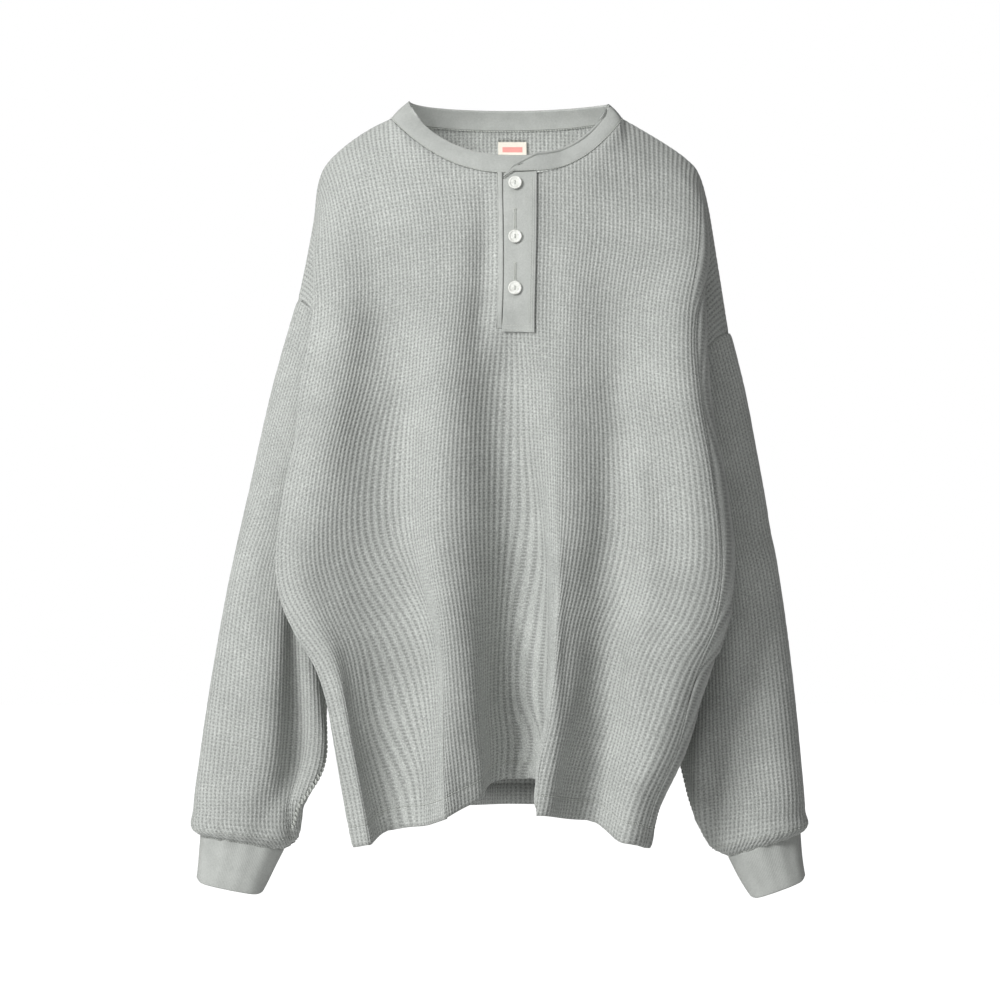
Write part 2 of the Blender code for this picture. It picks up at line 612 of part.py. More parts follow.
def build_neckband(front, back, front_points, back_points, front_normals, back_normals, finish):
    """A band on the neckline seam. Its left end lies under its right end, at the placket."""
    neck = slice(SHOULDER_COLUMNS, -SHOULDER_COLUMNS)
    seam = [
        (u, -1, front_points[0, neck][k], front_normals[0, neck][k])
        for k, u in enumerate(front.columns[neck])
    ]
    behind = [
        (u, 1, back_points[0, neck][k], back_normals[0, neck][k])
        for k, u in enumerate(back.columns[neck])
    ]
    split = NECK_LEFT_COLUMNS + SLIT_COLUMNS
    under_end = seam[: split + 1][::-1]
    over_end = seam[split:][::-1]
    for u in np.linspace(SLIT_RIGHT, OVERLAP_LEFT, SLIT_COLUMNS + 1)[1:]:
        over_end.append((u, -1, neck_edge(u / NECK_HALF, -1), seam[split][3]))
    path = under_end + behind[1:-1] + over_end
    half = (SHOULDER_RIGHT[0][0] - SHOULDER_LEFT[0][0]) / 2
    over_start = len(path) - len(over_end)
    columns = []
    for k, (u, facing, point, normal) in enumerate(path):
        a = u / NECK_HALF
        forward = FRONT_NECK_FORWARD if facing < 0 else BACK_NECK_BEHIND
        inward = unit(np.array((-a / half, -facing * math.sqrt(max(1 - a * a, 0)) / forward, 0.0)))
        lean_in = BAND_IN_FRONT + (BAND_IN_SIDE - BAND_IN_FRONT) * abs(a) ** 3
        lean = inward * lean_in + np.array((0, 0, math.sqrt(NECKBAND_WIDTH**2 - lean_in**2)))
        share = 0.0
        if k >= over_start:
            share = min(max((BAND_LIFT_END - u) / BAND_LIFT_RUN, 0.0), 1.0)
            taper = (BAND_TAPER_START - u) / (BAND_TAPER_START - OVERLAP_LEFT)
            lean = lean * (1 - BAND_TAPER * max(taper, 0.0))
        start = point + normal * BAND_OVERLAP_LIFT * share
        columns.append([start + lean * t - inward * BAND_BULGE * math.sin(math.pi * t) for t in BAND_ROWS])
    points = np.array(columns).transpose(1, 0, 2)
    normals = grid_normals(points, 1)
    away = (points - np.array((NECK_MIDDLE_X, 0, 0))) * np.array((1, 1, 0))
    normals *= np.sign(np.sum(normals * away, axis=-1, keepdims=True))
    normals[0] = unit(normals[0] + np.array([item[3] for item in path]))
    for k, (u, facing, point, normal) in enumerate(path):
        if k < over_start or u > BAND_LIFT_END:
            normal[:] = normals[0, k]
    outer = points.copy()
    outer[0] += unit(points[1] - points[0]) * HALF_GAP
    wall("neckband", outer, outer - normals * BAND, grid_faces(*points.shape[:2]), finish)


def build_placket(front, front_points, front_normals, finish):
    """The underlap fills the slit, flush with the front; the overlap lies on both."""
    start = SHOULDER_COLUMNS + NECK_LEFT_COLUMNS
    part = (slice(0, SLIT_ROWS + 1), slice(start, start + SLIT_COLUMNS + 1))
    points, normals = front_points[part], front_normals[part]
    outer = pull_back(points, bottom=True)
    wall("placket_underlap", outer, outer - normals * PLACKET, grid_faces(*points.shape[:2]), finish)

    across = np.linspace(OVERLAP_LEFT, OVERLAP_RIGHT, OVERLAP_COLUMNS)
    strip = Panel(FRONT_SECTIONS, FRONT_FOLDS, -1, across)
    tops = strip.top_heights + CORNER_DROP * np.clip(1 - (across - OVERLAP_LEFT) / CORNER_WIDTH, 0, 1)
    share = np.linspace(0, 1, SLIT_ROWS + 1)
    columns = [strip.at_column(j, top + (OVERLAP_BOTTOM - top) * share) for j, top in enumerate(tops)]
    points = np.array(columns).transpose(1, 0, 2)
    normals = grid_normals(points, -1)
    inner = pull_back(points) + normals * LAYER_GAP
    wall("placket_overlap", inner + normals * PLACKET, inner, grid_faces(*points.shape[:2]), finish)


def surface_point(facing, sections, folds, u, height):
    """A point of a panel and the direction it faces there."""
    step = 0.004
    patch = Panel(sections, folds, facing, (u - step, u, u + step))
    grid = np.array([patch.at_column(j, (height - step, height, height + step)) for j in range(3)])
    return grid[1, 1], unit(np.cross(grid[2, 1] - grid[0, 1], grid[1, 2] - grid[1, 0])) * facing


def build_button(number, height, finish, cutters):
    """A turned button with a dished middle and two holes one above the other."""
    point, normal = surface_point(-1, FRONT_SECTIONS, FRONT_FOLDS, BUTTON_ACROSS - FRONT_CENTRE_TOP, height)
    place = point + normal * (LAYER_GAP + PLACKET + 2 * CLEAR)
    turn = Vector(normal).to_track_quat("Z", "Y")
    profile = (
        (0.0, BUTTON_THICK - 0.0006),
        (BUTTON_RADIUS - BUTTON_RIM - 0.0012, BUTTON_THICK - 0.0006),
        (BUTTON_RADIUS - BUTTON_RIM, BUTTON_THICK),
        (BUTTON_RADIUS - 0.0004, BUTTON_THICK - 0.0001),
        (BUTTON_RADIUS, BUTTON_THICK - 0.0008),
        (BUTTON_RADIUS - 0.0009, 0.0),
        (0.0, 0.0),
    )
    mesh = bpy.data.meshes.new(f"button_{number}")
    mesh.from_pydata([(r, 0.0, z) for r, z in profile], [(k, k + 1) for k in range(len(profile) - 1)], [])
    button = add(f"button_{number}", mesh, finish)
    screw = button.modifiers.new("turn", "SCREW")
    screw.steps = screw.render_steps = 20
    screw.use_merge_vertices = True
    screw.merge_threshold = 0.00001
    button.location = place
    button.rotation_mode = "QUATERNION"
    button.rotation_quaternion = turn
    for k, offset in enumerate((-BUTTON_HOLE_APART / 2, BUTTON_HOLE_APART / 2)):
        bpy.ops.mesh.primitive_cylinder_add(vertices=8, radius=BUTTON_HOLE_RADIUS, depth=0.010)
        cutter = bpy.context.object
        cutter.name = f"hole_{number}_{k}"
        for collection in list(cutter.users_collection):
            collection.objects.unlink(cutter)
        cutters.objects.link(cutter)
        cutter.hide_render = True
        cutter.display_type = "WIRE"
        cutter.parent = button
        cutter.location = (0.0, offset, BUTTON_THICK / 2)
        hole = button.modifiers.new(f"hole_{k}", "BOOLEAN")
        hole.operation = "DIFFERENCE"
        hole.solver = "EXACT"
        hole.object = cutter


def build_label(finish):
    """A woven label on the inside of the back, below the neckband."""
    across = np.linspace(-LABEL_WIDTH / 2, LABEL_WIDTH / 2, 4) + LABEL_ACROSS
    strip = Panel(BACK_SECTIONS, BACK_FOLDS, 1, across)
    heights = np.linspace(LABEL_TOP, LABEL_TOP + LABEL_HEIGHT, 4)
    points = np.array([strip.at_column(j, heights) for j in range(4)]).transpose(1, 0, 2)
    normals = grid_normals(points, 1)
    outer = points - normals * (KNIT + 5 * CLEAR)
    wall("neck_label", outer, outer - normals * LABEL, grid_faces(4, 4), finish)


clear_scene()
PARTS = bpy.data.collections.new(COLLECTION)
bpy.context.scene.collection.children.link(PARTS)
WAFFLE = material("waffle_knit", (0.50, 0.52, 0.49), 0.92)
JERSEY = material("plain_jersey", (0.49, 0.51, 0.48), 0.90)
SHELL = material("shell_button", (0.83, 0.84, 0.81), 0.30)
WOVEN = material("woven_label", (0.76, 0.70, 0.60), 0.80)
CUTTERS = bpy.data.collections.new("cutters")
bpy.context.scene.collection.children.link(CUTTERS)

front, back, front_points, back_points, front_normals, back_normals = panel_grids()
for side in (-1, 1):
    build_sleeve(side, front_points, back_points, front_normals, back_normals, WAFFLE, JERSEY)
build_neckband(front, back, front_points, back_points, front_normals, back_normals, JERSEY)
build_panels(front_points, back_points, front_normals, back_normals, WAFFLE)
build_placket(front, front_points, front_normals, JERSEY)
for number, height in enumerate(BUTTON_HEIGHTS, start=1):
    build_button(number, height, SHELL, CUTTERS)
build_label(WOVEN)
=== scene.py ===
import math

import bmesh
import bpy
import numpy as np
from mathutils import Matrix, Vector


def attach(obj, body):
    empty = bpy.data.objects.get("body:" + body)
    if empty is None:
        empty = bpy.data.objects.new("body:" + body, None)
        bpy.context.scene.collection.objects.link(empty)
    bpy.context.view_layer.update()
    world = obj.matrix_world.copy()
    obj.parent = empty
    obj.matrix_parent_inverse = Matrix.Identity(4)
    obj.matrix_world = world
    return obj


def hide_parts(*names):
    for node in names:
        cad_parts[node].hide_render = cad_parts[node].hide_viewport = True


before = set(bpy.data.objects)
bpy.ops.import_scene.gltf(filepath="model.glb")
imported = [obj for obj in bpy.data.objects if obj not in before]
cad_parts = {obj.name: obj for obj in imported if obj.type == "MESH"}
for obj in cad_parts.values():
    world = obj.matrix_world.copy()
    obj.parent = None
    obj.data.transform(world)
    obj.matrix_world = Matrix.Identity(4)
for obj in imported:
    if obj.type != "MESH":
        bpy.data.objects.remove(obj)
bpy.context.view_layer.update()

# ------------------------------------------------------------------------------------------------
# Front. One panel of light heather grey cotton waffle knit, cut square and 600 mm wide, with a slit
# for the placket. It joins the back at the shoulders and sides and the sleeves at its straight
# armhole edges. Its hem is turned up once. Wales run down the cut and courses across it.
# ------------------------------------------------------------------------------------------------

# Cut sizes in metres. A height in the cut is the distance down a wale from the level of the neck.
HALF_PANEL = 0.300
NECK_HALF = 0.115
SHOULDER_RISE = 0.013
ARMHOLE_TOP = 0.060
UNDERARM = 0.300
HEM = 0.658
HEM_TURNED = 0.019
CENTRE_LINE = -0.011
CENTRE_HEM = -0.010
# By the way a panel faces: -1 for the front, 1 for the back.
CENTRE_TOP = {-1: 0.003, 1: -0.005}
FOLD_RETURN = {-1: 0.046, 1: 0.061}
HALF_POINTS = 32
SLIT_LEFT = -0.017
SLIT_RIGHT = 0.020
SLIT_BOTTOM = 0.2015

# The knit: a wale is a raised rib and the groove beside it, a course is a rung and the pit below.
COURSE = 0.0035
LEFT_WALES, SLIT_WALES, RIGHT_WALES = 69, 9, 68
RIB_UP = 0.00046
RUNG_DOWN = 0.00018
PIT_DOWN = 0.00078
UNEVEN = 0.00007
KNIT = 0.0020
HEM_KNIT = 0.0034
HEM_FURROW = 0.0009
HEM_FURROW_HALF = 0.0016
SEAM_FADE = 0.005
SEAM_DIP = 0.0009

# One row for each section of a panel: its height in the cut, the X of its two fold edges, how far
# it stands out, the depth of its folds, the radius of its sagging course, how far each side is
# pushed in behind its fold edge, how much it follows the dips of the hem, and how far the middle
# trough leans under the ridge beside it.
FRONT_SECTIONS = (
    # height, left, right, reach, fold, course_radius, tuck_left, tuck_right, hem_share, lean
    (0.105, -0.189, 0.178, 0.062, 0.003, 0.52, 0.010, 0.010, 0.00, 0.000),
    (0.160, -0.190, 0.176, 0.073, 0.006, 0.48, 0.018, 0.018, 0.00, 0.000),
    (0.225, -0.202, 0.179, 0.079, 0.010, 0.42, 0.030, 0.028, 0.00, 0.000),
    (0.300, -0.216, 0.187, 0.083, 0.017, 0.36, 0.040, 0.036, 0.00, 0.000),
    (0.385, -0.222, 0.194, 0.085, 0.026, 0.33, 0.042, 0.040, 0.00, 0.002),
    (0.430, -0.209, 0.188, 0.085, 0.031, 0.33, 0.030, 0.032, 0.03, 0.003),
    (0.475, -0.189, 0.175, 0.085, 0.036, 0.33, 0.016, 0.018, 0.10, 0.004),
    (0.565, -0.167, 0.152, 0.085, 0.044, 0.32, 0.006, 0.008, 0.45, 0.008),
    (0.620, -0.154, 0.130, 0.085, 0.049, 0.30, 0.002, 0.002, 0.80, 0.011),
    (0.658, -0.146, 0.122, 0.085, 0.052, 0.29, 0.000, 0.000, 1.00, 0.012),
)

# One row for each fold line down a panel: its place between the fold edges at the chest and at the
# hem, how far it stands out (1) or in (-1), and how far the hem dips there.
FRONT_FOLDS = (
    # at_chest, at_hem, height, hem_dip
    (0.000, 0.000, 0.20, 0.036),
    (0.060, 0.035, 0.50, 0.034),
    (0.200, 0.155, -0.65, 0.020),
    (0.370, 0.307, 1.00, 0.007),
    (0.510, 0.532, -1.45, -0.024),
    (0.660, 0.625, 1.00, 0.004),
    (0.765, 0.806, -0.70, 0.012),
    (0.940, 0.950, 0.60, 0.032),
    (1.000, 1.000, 0.20, 0.036),
)

# The shoulder seam from the neck, over the tip of the shoulder, to the top of the armhole.
SHOULDER_LEFT = (
    # x, y, z
    (-0.117, 0.004, 0.003),
    (-0.139, 0.005, -0.008),
    (-0.162, 0.005, -0.024),
    (-0.180, 0.005, -0.042),
    (-0.188, 0.005, -0.062),
    (-0.192, 0.006, -0.095),
    (-0.199, 0.006, -0.134),
    (-0.207, 0.005, -0.173),
)
SHOULDER_RIGHT = (
    (0.107, 0.004, 0.003),
    (0.128, 0.005, -0.009),
    (0.151, 0.005, -0.023),
    (0.169, 0.005, -0.036),
    (0.181, 0.005, -0.050),
    (0.190, 0.006, -0.080),
    (0.199, 0.006, -0.134),
    (0.210, 0.005, -0.205),
)

# The side seam from the underarm to the hem.
SIDE_SEAM = (
    # height, left_x, right_x, y, z
    (0.300, -0.174, 0.147, 0.005, -0.366),
    (0.385, -0.167, 0.142, 0.006, -0.446),
    (0.475, -0.165, 0.146, 0.007, -0.528),
    (0.565, -0.160, 0.145, 0.006, -0.609),
    (0.620, -0.152, 0.130, 0.006, -0.658),
    (0.658, -0.143, 0.119, 0.006, -0.693),
)

# One row for each ring of a sleeve, from the armhole to the cuff: the X and Z of its outer and
# inner ends, half its depth, the Y of its middle, how far its front and back swing inwards, the
# depth of the groove down its front, and how far its inner end comes to a point, as a slit does.
SLEEVE_LEFT = (
    # outer_x, outer_z, inner_x, inner_z, depth, middle, swing, groove, point
    (-0.207, -0.173, -0.174, -0.366, 0.041, 0.005, 0.040, 0.000, 1.00),
    (-0.229, -0.250, -0.182, -0.408, 0.043, 0.006, 0.026, 0.000, 0.55),
    (-0.247, -0.327, -0.183, -0.458, 0.045, 0.008, 0.010, 0.000, 0.20),
    (-0.266, -0.419, -0.180, -0.508, 0.046, 0.010, 0.000, 0.001, 0.00),
    (-0.283, -0.520, -0.175, -0.570, 0.046, 0.010, 0.000, 0.005, 0.00),
    (-0.296, -0.603, -0.176, -0.617, 0.043, 0.009, 0.000, 0.009, 0.00),
    (-0.305, -0.662, -0.194, -0.660, 0.037, 0.006, 0.000, 0.007, 0.00),
    (-0.306, -0.679, -0.206, -0.690, 0.031, 0.004, 0.000, 0.003, 0.00),
    (-0.300, -0.687, -0.219, -0.702, 0.024, 0.002, 0.000, 0.000, 0.00),
)
SLEEVE_RIGHT = (
    (0.210, -0.205, 0.147, -0.366, 0.041, 0.005, 0.040, 0.000, 1.00),
    (0.222, -0.262, 0.156, -0.408, 0.043, 0.006, 0.030, 0.000, 0.55),
    (0.233, -0.332, 0.158, -0.458, 0.045, 0.008, 0.014, 0.000, 0.20),
    (0.248, -0.426, 0.156, -0.510, 0.047, 0.010, 0.000, 0.000, 0.00),
    (0.262, -0.522, 0.159, -0.572, 0.046, 0.010, 0.000, 0.002, 0.00),
    (0.273, -0.605, 0.165, -0.630, 0.043, 0.009, 0.000, 0.004, 0.00),
    (0.280, -0.664, 0.183, -0.680, 0.037, 0.006, 0.000, 0.006, 0.00),
    (0.281, -0.677, 0.196, -0.700, 0.031, 0.004, 0.000, 0.003, 0.00),
    (0.278, -0.684, 0.208, -0.709, 0.024, 0.002, 0.000, 0.000, 0.00),
)
GROOVE_ANGLE = 1.95
GROOVE_WIDTH = 0.33

# The neckline seam dips from the shoulder points to the middle of the front (-1) and back (1), and
# stands out there. The neckline of the cut is deeper by the ease.
NECK_DROP = {-1: 0.057, 1: 0.008}
NECK_OUT = {-1: 0.054, 1: 0.046}
NECK_EASE = 0.010
NECK_MIDDLE_X = -0.005
CORNER_REACH = 0.040
TOP_BLEND = 0.022
SIDE_BLEND = 0.05

# Soft creases of the front: two ends in the cut, half the width, and the height, which is negative
# for a trough.
FRONT_CREASES = (
    # across_0, down_0, across_1, down_1, width, height
    (-0.179, 0.055, -0.062, 0.463, 0.032, -0.0165),
    (-0.104, 0.198, -0.124, 0.738, 0.021, -0.0175),
    (-0.170, 0.347, -0.184, 0.725, 0.028, -0.0165),
    (-0.236, 0.520, -0.222, 0.760, 0.020, 0.0070),
    (-0.118, 0.340, -0.160, 0.724, 0.022, -0.0180),
    (-0.034, 0.216, -0.034, 0.598, 0.030, 0.0090),
    (-0.006, -0.060, -0.005, 0.344, 0.026, -0.0140),
    (-0.041, 0.456, -0.045, 0.837, 0.021, 0.0130),
    (-0.005, 0.250, 0.017, 0.556, 0.016, -0.0100),
    (0.004, 0.448, -0.004, 0.875, 0.015, -0.0135),
    (0.098, 0.470, 0.098, 0.783, 0.015, 0.0060),
    (0.119, 0.161, 0.100, 0.459, 0.017, -0.0070),
    (0.107, 0.248, 0.182, 0.625, 0.021, 0.0145),
    (0.188, -0.066, 0.180, 0.614, 0.031, 0.0155),
    (0.193, 0.124, 0.236, 0.912, 0.022, 0.0125),
    (0.040, 0.346, 0.103, 0.673, 0.009, 0.0040),
    (-0.088, 0.285, -0.097, 0.735, 0.022, -0.0090),
    (-0.030, 0.000, 0.028, 0.915, 0.105, -0.0160),
)
CREASE_FADE = 0.035
PLACKET_HALF = 0.030
PLACKET_END = 0.260
PLACKET_EASE = 0.085
BUTTON_LINE = 0.003
FRONT_CLOTH = (FRONT_SECTIONS, FRONT_FOLDS, FRONT_CREASES, -1)


def unit(vectors):
    lengths = np.linalg.norm(vectors, axis=-1, keepdims=True)
    return vectors / np.maximum(lengths, 1e-12)


def through(knots, values, at, start=None):
    """A smooth curve through values at knots, read at the places in at."""
    knots, values, at = (np.asarray(item, float) for item in (knots, values, at))
    flat = values.reshape(len(knots), -1)
    steps = np.diff(knots)[:, None]
    rises = np.diff(flat, axis=0) / steps
    slopes = np.vstack((rises[:1], rises, rises[-1:]))[: len(knots)]
    slopes[1:-1] = (rises[:-1] * steps[1:] + rises[1:] * steps[:-1]) / (steps[:-1] + steps[1:])
    slopes[-1] = rises[-1]
    if start is not None:
        slopes[0] = start
    i = np.clip(np.searchsorted(knots, at, side="right") - 1, 0, len(knots) - 2)
    step = steps[i, 0]
    t = ((at - knots[i]) / step)[:, None]
    step = step[:, None]
    result = (
        (1 + 2 * t) * (1 - t) ** 2 * flat[i]
        + t * (1 - t) ** 2 * step * slopes[i]
        + t**2 * (3 - 2 * t) * flat[i + 1]
        + t**2 * (t - 1) * step * slopes[i + 1]
    )
    return result.reshape((len(at),) + values.shape[1:])


def distances(points):
    """How far along its path each point lies."""
    return np.concatenate(([0.0], np.cumsum(np.linalg.norm(np.diff(points, axis=0), axis=1))))


def read_path(at, lengths, path):
    """Points of a path at the given distances along it."""
    return np.stack([np.interp(at, lengths, path[:, k]) for k in range(3)], axis=1)


def along(points, places):
    """Points at the given shares of the length of a smooth curve through points."""
    points = np.asarray(points, float)
    count = len(points)
    fine = through(np.arange(count), points, np.linspace(0, count - 1, 12 * count))
    lengths = distances(fine)
    return read_path(np.asarray(places) * lengths[-1], lengths, fine)


def wave(places, values, at):
    """Crests and troughs joined by half cosines."""
    i = np.clip(np.searchsorted(places, at, side="right") - 1, 0, len(places) - 2)
    t = (at - places[i]) / (places[i + 1] - places[i])
    return values[i] + (values[i + 1] - values[i]) * (1 - np.cos(np.pi * np.clip(t, 0, 1))) / 2


def ring_point(ring, angle):
    """A point of a sleeve ring. Angle 0 is its outer end, half a turn its inner end; the front lies
    between them, and angles past half a turn go round the back."""
    outer_x, outer_z, inner_x, inner_z, depth, middle, swing, groove, point = ring
    outer = np.array((outer_x, middle, outer_z))
    inner = np.array((inner_x, middle, inner_z))
    side = math.copysign(1.0, outer_x)
    sine = math.sin(angle)
    facing = -1.0 if sine >= 0 else 1.0
    dent = groove * math.exp(-(((angle - GROOVE_ANGLE) / GROOVE_WIDTH) ** 2))
    cosine = math.cos(angle)
    sharp = point * (1 - cosine) / 2
    straight = 1 - 2 * min(angle % math.tau, math.tau - angle % math.tau) / math.pi
    cosine += (straight - cosine) * sharp
    inwards = -side * swing * abs(sine) ** 1.5 * (1 + cosine) / 2
    outwards = facing * (depth - dent) * abs(sine) ** (0.9 + 1.1 * sharp)
    return (outer + inner) / 2 + (outer - inner) / 2 * cosine + np.array((inwards, outwards, 0.0))


def seam_end(height, side, facing):
    """Where a course of the front or back ends: on the armhole, or below it on the side seam."""
    sleeve = SLEEVE_LEFT if side < 0 else SLEEVE_RIGHT
    if height <= UNDERARM:
        share = (height - ARMHOLE_TOP) / (UNDERARM - ARMHOLE_TOP)
        return ring_point(sleeve[0], -facing * math.pi * share)
    table = np.array(SIDE_SEAM)
    left_x, right_x, y, z = through(table[:, 0], table[:, 1:], [height])[0]
    return np.array((left_x if side < 0 else right_x, y, z))


def centre_x(height, facing):
    """The X of the middle wale of a panel, which drifts a little as the cloth hangs."""
    top = CENTRE_TOP[facing]
    share = min(max((height - 0.16) / (HEM - 0.16), 0.0), 1.0)
    return top + (CENTRE_HEM - top) * share


def section_curve(section, folds, facing):
    """One course of a panel in two halves, from its left seam to its middle wale, and from there to
    its right seam. facing is -1 for the front."""
    height, left, right, reach, fold, radius, tuck_left, tuck_right, hem_share, lean = section
    table = np.array(folds)
    down = (height - FRONT_SECTIONS[0][0]) / (HEM - FRONT_SECTIONS[0][0])
    places = table[:, 0] + (table[:, 1] - table[:, 0]) * down
    middle = (centre_x(height, facing) - left) / (right - left)
    left_share = np.linspace(0, middle, HALF_POINTS + 1)
    across = np.concatenate((left_share, np.linspace(middle, 1, HALF_POINTS + 1)[1:]))
    crest = wave(places, table[:, 2], across)
    dip = wave(places, table[:, 3], across)
    bow = 1 - 0.13 * (2 * across - 1) ** 2 - 0.10 * (2 * across - 1) ** 8
    x = left + (right - left) * across
    y = facing * (reach * bow + fold * crest / 2)
    under = np.clip(-crest, 0, None) * np.exp(-(((across - 0.57) / 0.09) ** 2))
    sag = (x - CENTRE_LINE) ** 2 / (2 * radius)
    z = -height - sag * (1 - hem_share) - dip * hem_share
    face = np.stack((x + lean * under, y, z), axis=1)
    back_y = facing * min(FOLD_RETURN[facing], abs(y[0]) - 0.012)

    def behind(edge, side, tuck):
        """The cloth from a fold edge back to the seam: round the fold, in, and along the side."""
        end = seam_end(height, side, facing)
        drop = end[2] - edge[2]
        round_fold = edge + np.array((-side * 0.001, -facing * 0.006, 0.10 * drop))
        turned_x = edge[0] - side * (0.004 + 0.3 * tuck)
        turned = np.array((turned_x, back_y + facing * 0.001, edge[2] + 0.35 * drop))
        tucked_x = edge[0] - side * (0.006 + tuck)
        tucked = np.array((tucked_x, back_y - facing * 0.008, edge[2] + 0.70 * drop))
        beside = tucked + (end - tucked) * np.array((0.75, 0.55, 0.85))
        return [round_fold, turned, tucked, beside, end]

    left_part = behind(face[0], -1, tuck_left)
    right_part = behind(face[-1], 1, tuck_right)
    return (
        np.vstack((left_part[::-1], face[: HALF_POINTS + 1])),
        np.vstack((face[HALF_POINTS:], right_part)),
    )


def neck_edge(across, facing):
    """The seam under the neckband. across runs from -1 at the left shoulder to 1 at the right."""
    across = np.asarray(across, float)
    half = (SHOULDER_RIGHT[0][0] - SHOULDER_LEFT[0][0]) / 2
    r = np.abs(across)
    x = NECK_MIDDLE_X + half * across + (CENTRE_TOP[facing] - NECK_MIDDLE_X) * (1 - r**2)
    y = SHOULDER_LEFT[0][1] + facing * NECK_OUT[facing] * np.clip(1 - r**2, 0, 1) ** 0.58
    z = SHOULDER_LEFT[0][2] - NECK_DROP[facing] * (1 - r**2.5)
    return np.stack((x, y, z), axis=-1)


def shoulder_share(u):
    """How far along the shoulder seam a wale starts."""
    return (abs(u) - NECK_HALF) / (HALF_PANEL - NECK_HALF)


def top_point(u, facing):
    """The upper edge of a panel at a wale: on the neckline, or on the shoulder seam."""
    if abs(u) <= NECK_HALF:
        return neck_edge(u / NECK_HALF, facing)
    return along(SHOULDER_LEFT if u < 0 else SHOULDER_RIGHT, [shoulder_share(u)])[0]


def top_height(u, facing):
    """The height in the cut of the upper edge at a wale."""
    if abs(u) <= NECK_HALF:
        return -SHOULDER_RISE + (NECK_DROP[facing] + NECK_EASE) * (1 - abs(u / NECK_HALF) ** 2.5)
    return -SHOULDER_RISE + (ARMHOLE_TOP + SHOULDER_RISE) * shoulder_share(u)


def top_slope(u, facing):
    """The direction in which the cloth leaves its upper edge."""
    at_neck = np.array((0.0, facing * 0.50, -0.86))
    at_shoulder = np.array((0.0, facing * 0.80, -0.60))
    at_arm = np.array((-math.copysign(0.62, u), facing * 0.72, -0.30))
    if abs(u) <= NECK_HALF:
        return unit(at_neck + (at_shoulder - at_neck) * abs(u / NECK_HALF) ** 3)
    return unit(at_shoulder + (at_arm - at_shoulder) * shoulder_share(u) ** 1.5)


class Panel:
    """The front or back as a surface over its flat cut, read along chosen columns of the knit."""

    def __init__(self, sections, folds, creases, facing, columns):
        self.facing, self.creases = facing, creases
        self.columns = np.array(columns)
        left_places = 1 + self.columns[self.columns < 0] / HALF_PANEL
        right_places = self.columns[self.columns >= 0] / HALF_PANEL
        self.heights = [row[0] for row in sections]
        self.courses = []
        for row in sections:
            left_half, right_half = section_curve(row, folds, facing)
            halves = along(left_half, left_places), along(right_half, right_places)
            self.courses.append(np.vstack(halves))
        self.courses = np.array(self.courses)
        self.tops = np.array([top_point(u, facing) for u in self.columns])
        self.top_heights = np.array([top_height(u, facing) for u in self.columns])
        self.slopes = np.array([top_slope(u, facing) for u in self.columns])
        self.soft_tops, self.soft_heights, self.soft_slopes = (
            np.array([self.softened(read, u, facing) for u in self.columns])
            for read in (top_point, top_height, top_slope)
        )

    @staticmethod
    def softened(read, u, facing):
        """The mean over the wales near u, in which the corner of the neckline is round."""
        near = np.clip(u + np.linspace(-CORNER_REACH, CORNER_REACH, 9), -HALF_PANEL, HALF_PANEL)
        weights = np.hanning(11)[1:-1]
        values = np.array([read(place, facing) for place in near])
        return np.tensordot(weights / weights.sum(), values, axes=1)

    def at_column(self, j, heights):
        """Points of one wale, before any crease."""
        u = self.columns[j]
        if abs(u) > HALF_PANEL - 1e-6:
            side = math.copysign(1, u)
            return np.array([seam_end(height, side, self.facing) for height in heights])
        knots = np.concatenate(([self.top_heights[j]], self.heights))
        values = np.vstack((self.tops[j][None], self.courses[:, j]))
        edge = through(knots, values, heights, start=self.slopes[j])
        knots[0], values[0] = self.soft_heights[j], self.soft_tops[j]
        away = through(knots, values, heights, start=self.soft_slopes[j])
        below = np.maximum(heights - self.top_heights[j], 0)
        share = 1 - np.exp(-((below / TOP_BLEND) ** 2))
        side = np.clip((HALF_PANEL - abs(u)) / SIDE_BLEND, 0, 1)
        return edge + (away - edge) * (share * side)[:, None]

    def surface(self, heights):
        """Points and outward directions at the heights given for each column, by row and column."""
        step = 0.001
        last = len(self.columns) - 1
        read = []
        for j in range(last + 1):
            wanted = (
                heights[:, j], heights[:, j] - step, heights[:, j] + step,
                heights[:, max(j - 1, 0)], heights[:, min(j + 1, last)],
            )
            read.append(self.at_column(j, np.concatenate(wanted)).reshape(5, -1, 3))
        read = np.array(read).transpose(1, 2, 0, 3)
        points, above, below, for_left, for_right = read
        across = np.empty_like(points)
        across[:, 1:-1] = for_left[:, 2:] - for_right[:, :-2]
        across[:, 0] = for_left[:, 1] - points[:, 0]
        across[:, -1] = points[:, -1] - for_right[:, -2]
        outward = unit(np.cross(across, below - above)) * self.facing
        column = np.arange(last + 1)
        right, left = np.minimum(column + 1, last), np.maximum(column - 1, 0)
        across += outward * (self.lift(right, heights) - self.lift(left, heights))[..., None]
        lower, higher = self.lift(column, heights + step), self.lift(column, heights - step)
        fall = below - above + outward * (lower - higher)[..., None]
        lifted = points + outward * self.lift(column, heights)[..., None]
        return lifted, unit(np.cross(across, fall)) * self.facing

    def lift(self, j, heights):
        """How far the creases move the cloth, which is not at all where it is sewn on or where the
        buttons hold it."""
        u = self.columns[j]
        inside = np.minimum(HALF_PANEL - np.abs(u), heights - self.top_heights[j])
        share = np.clip(inside / CREASE_FADE, 0, 1)
        free = 1.0
        if self.facing < 0:
            held = np.clip((PLACKET_END - heights) / PLACKET_EASE, 0, 1)
            near = np.exp(-(((u - BUTTON_LINE) / PLACKET_HALF) ** 4))
            free = 1 - near * held**2 * (3 - 2 * held)
        return crease_height(u, heights, self.creases) * share**2 * (3 - 2 * share) * free


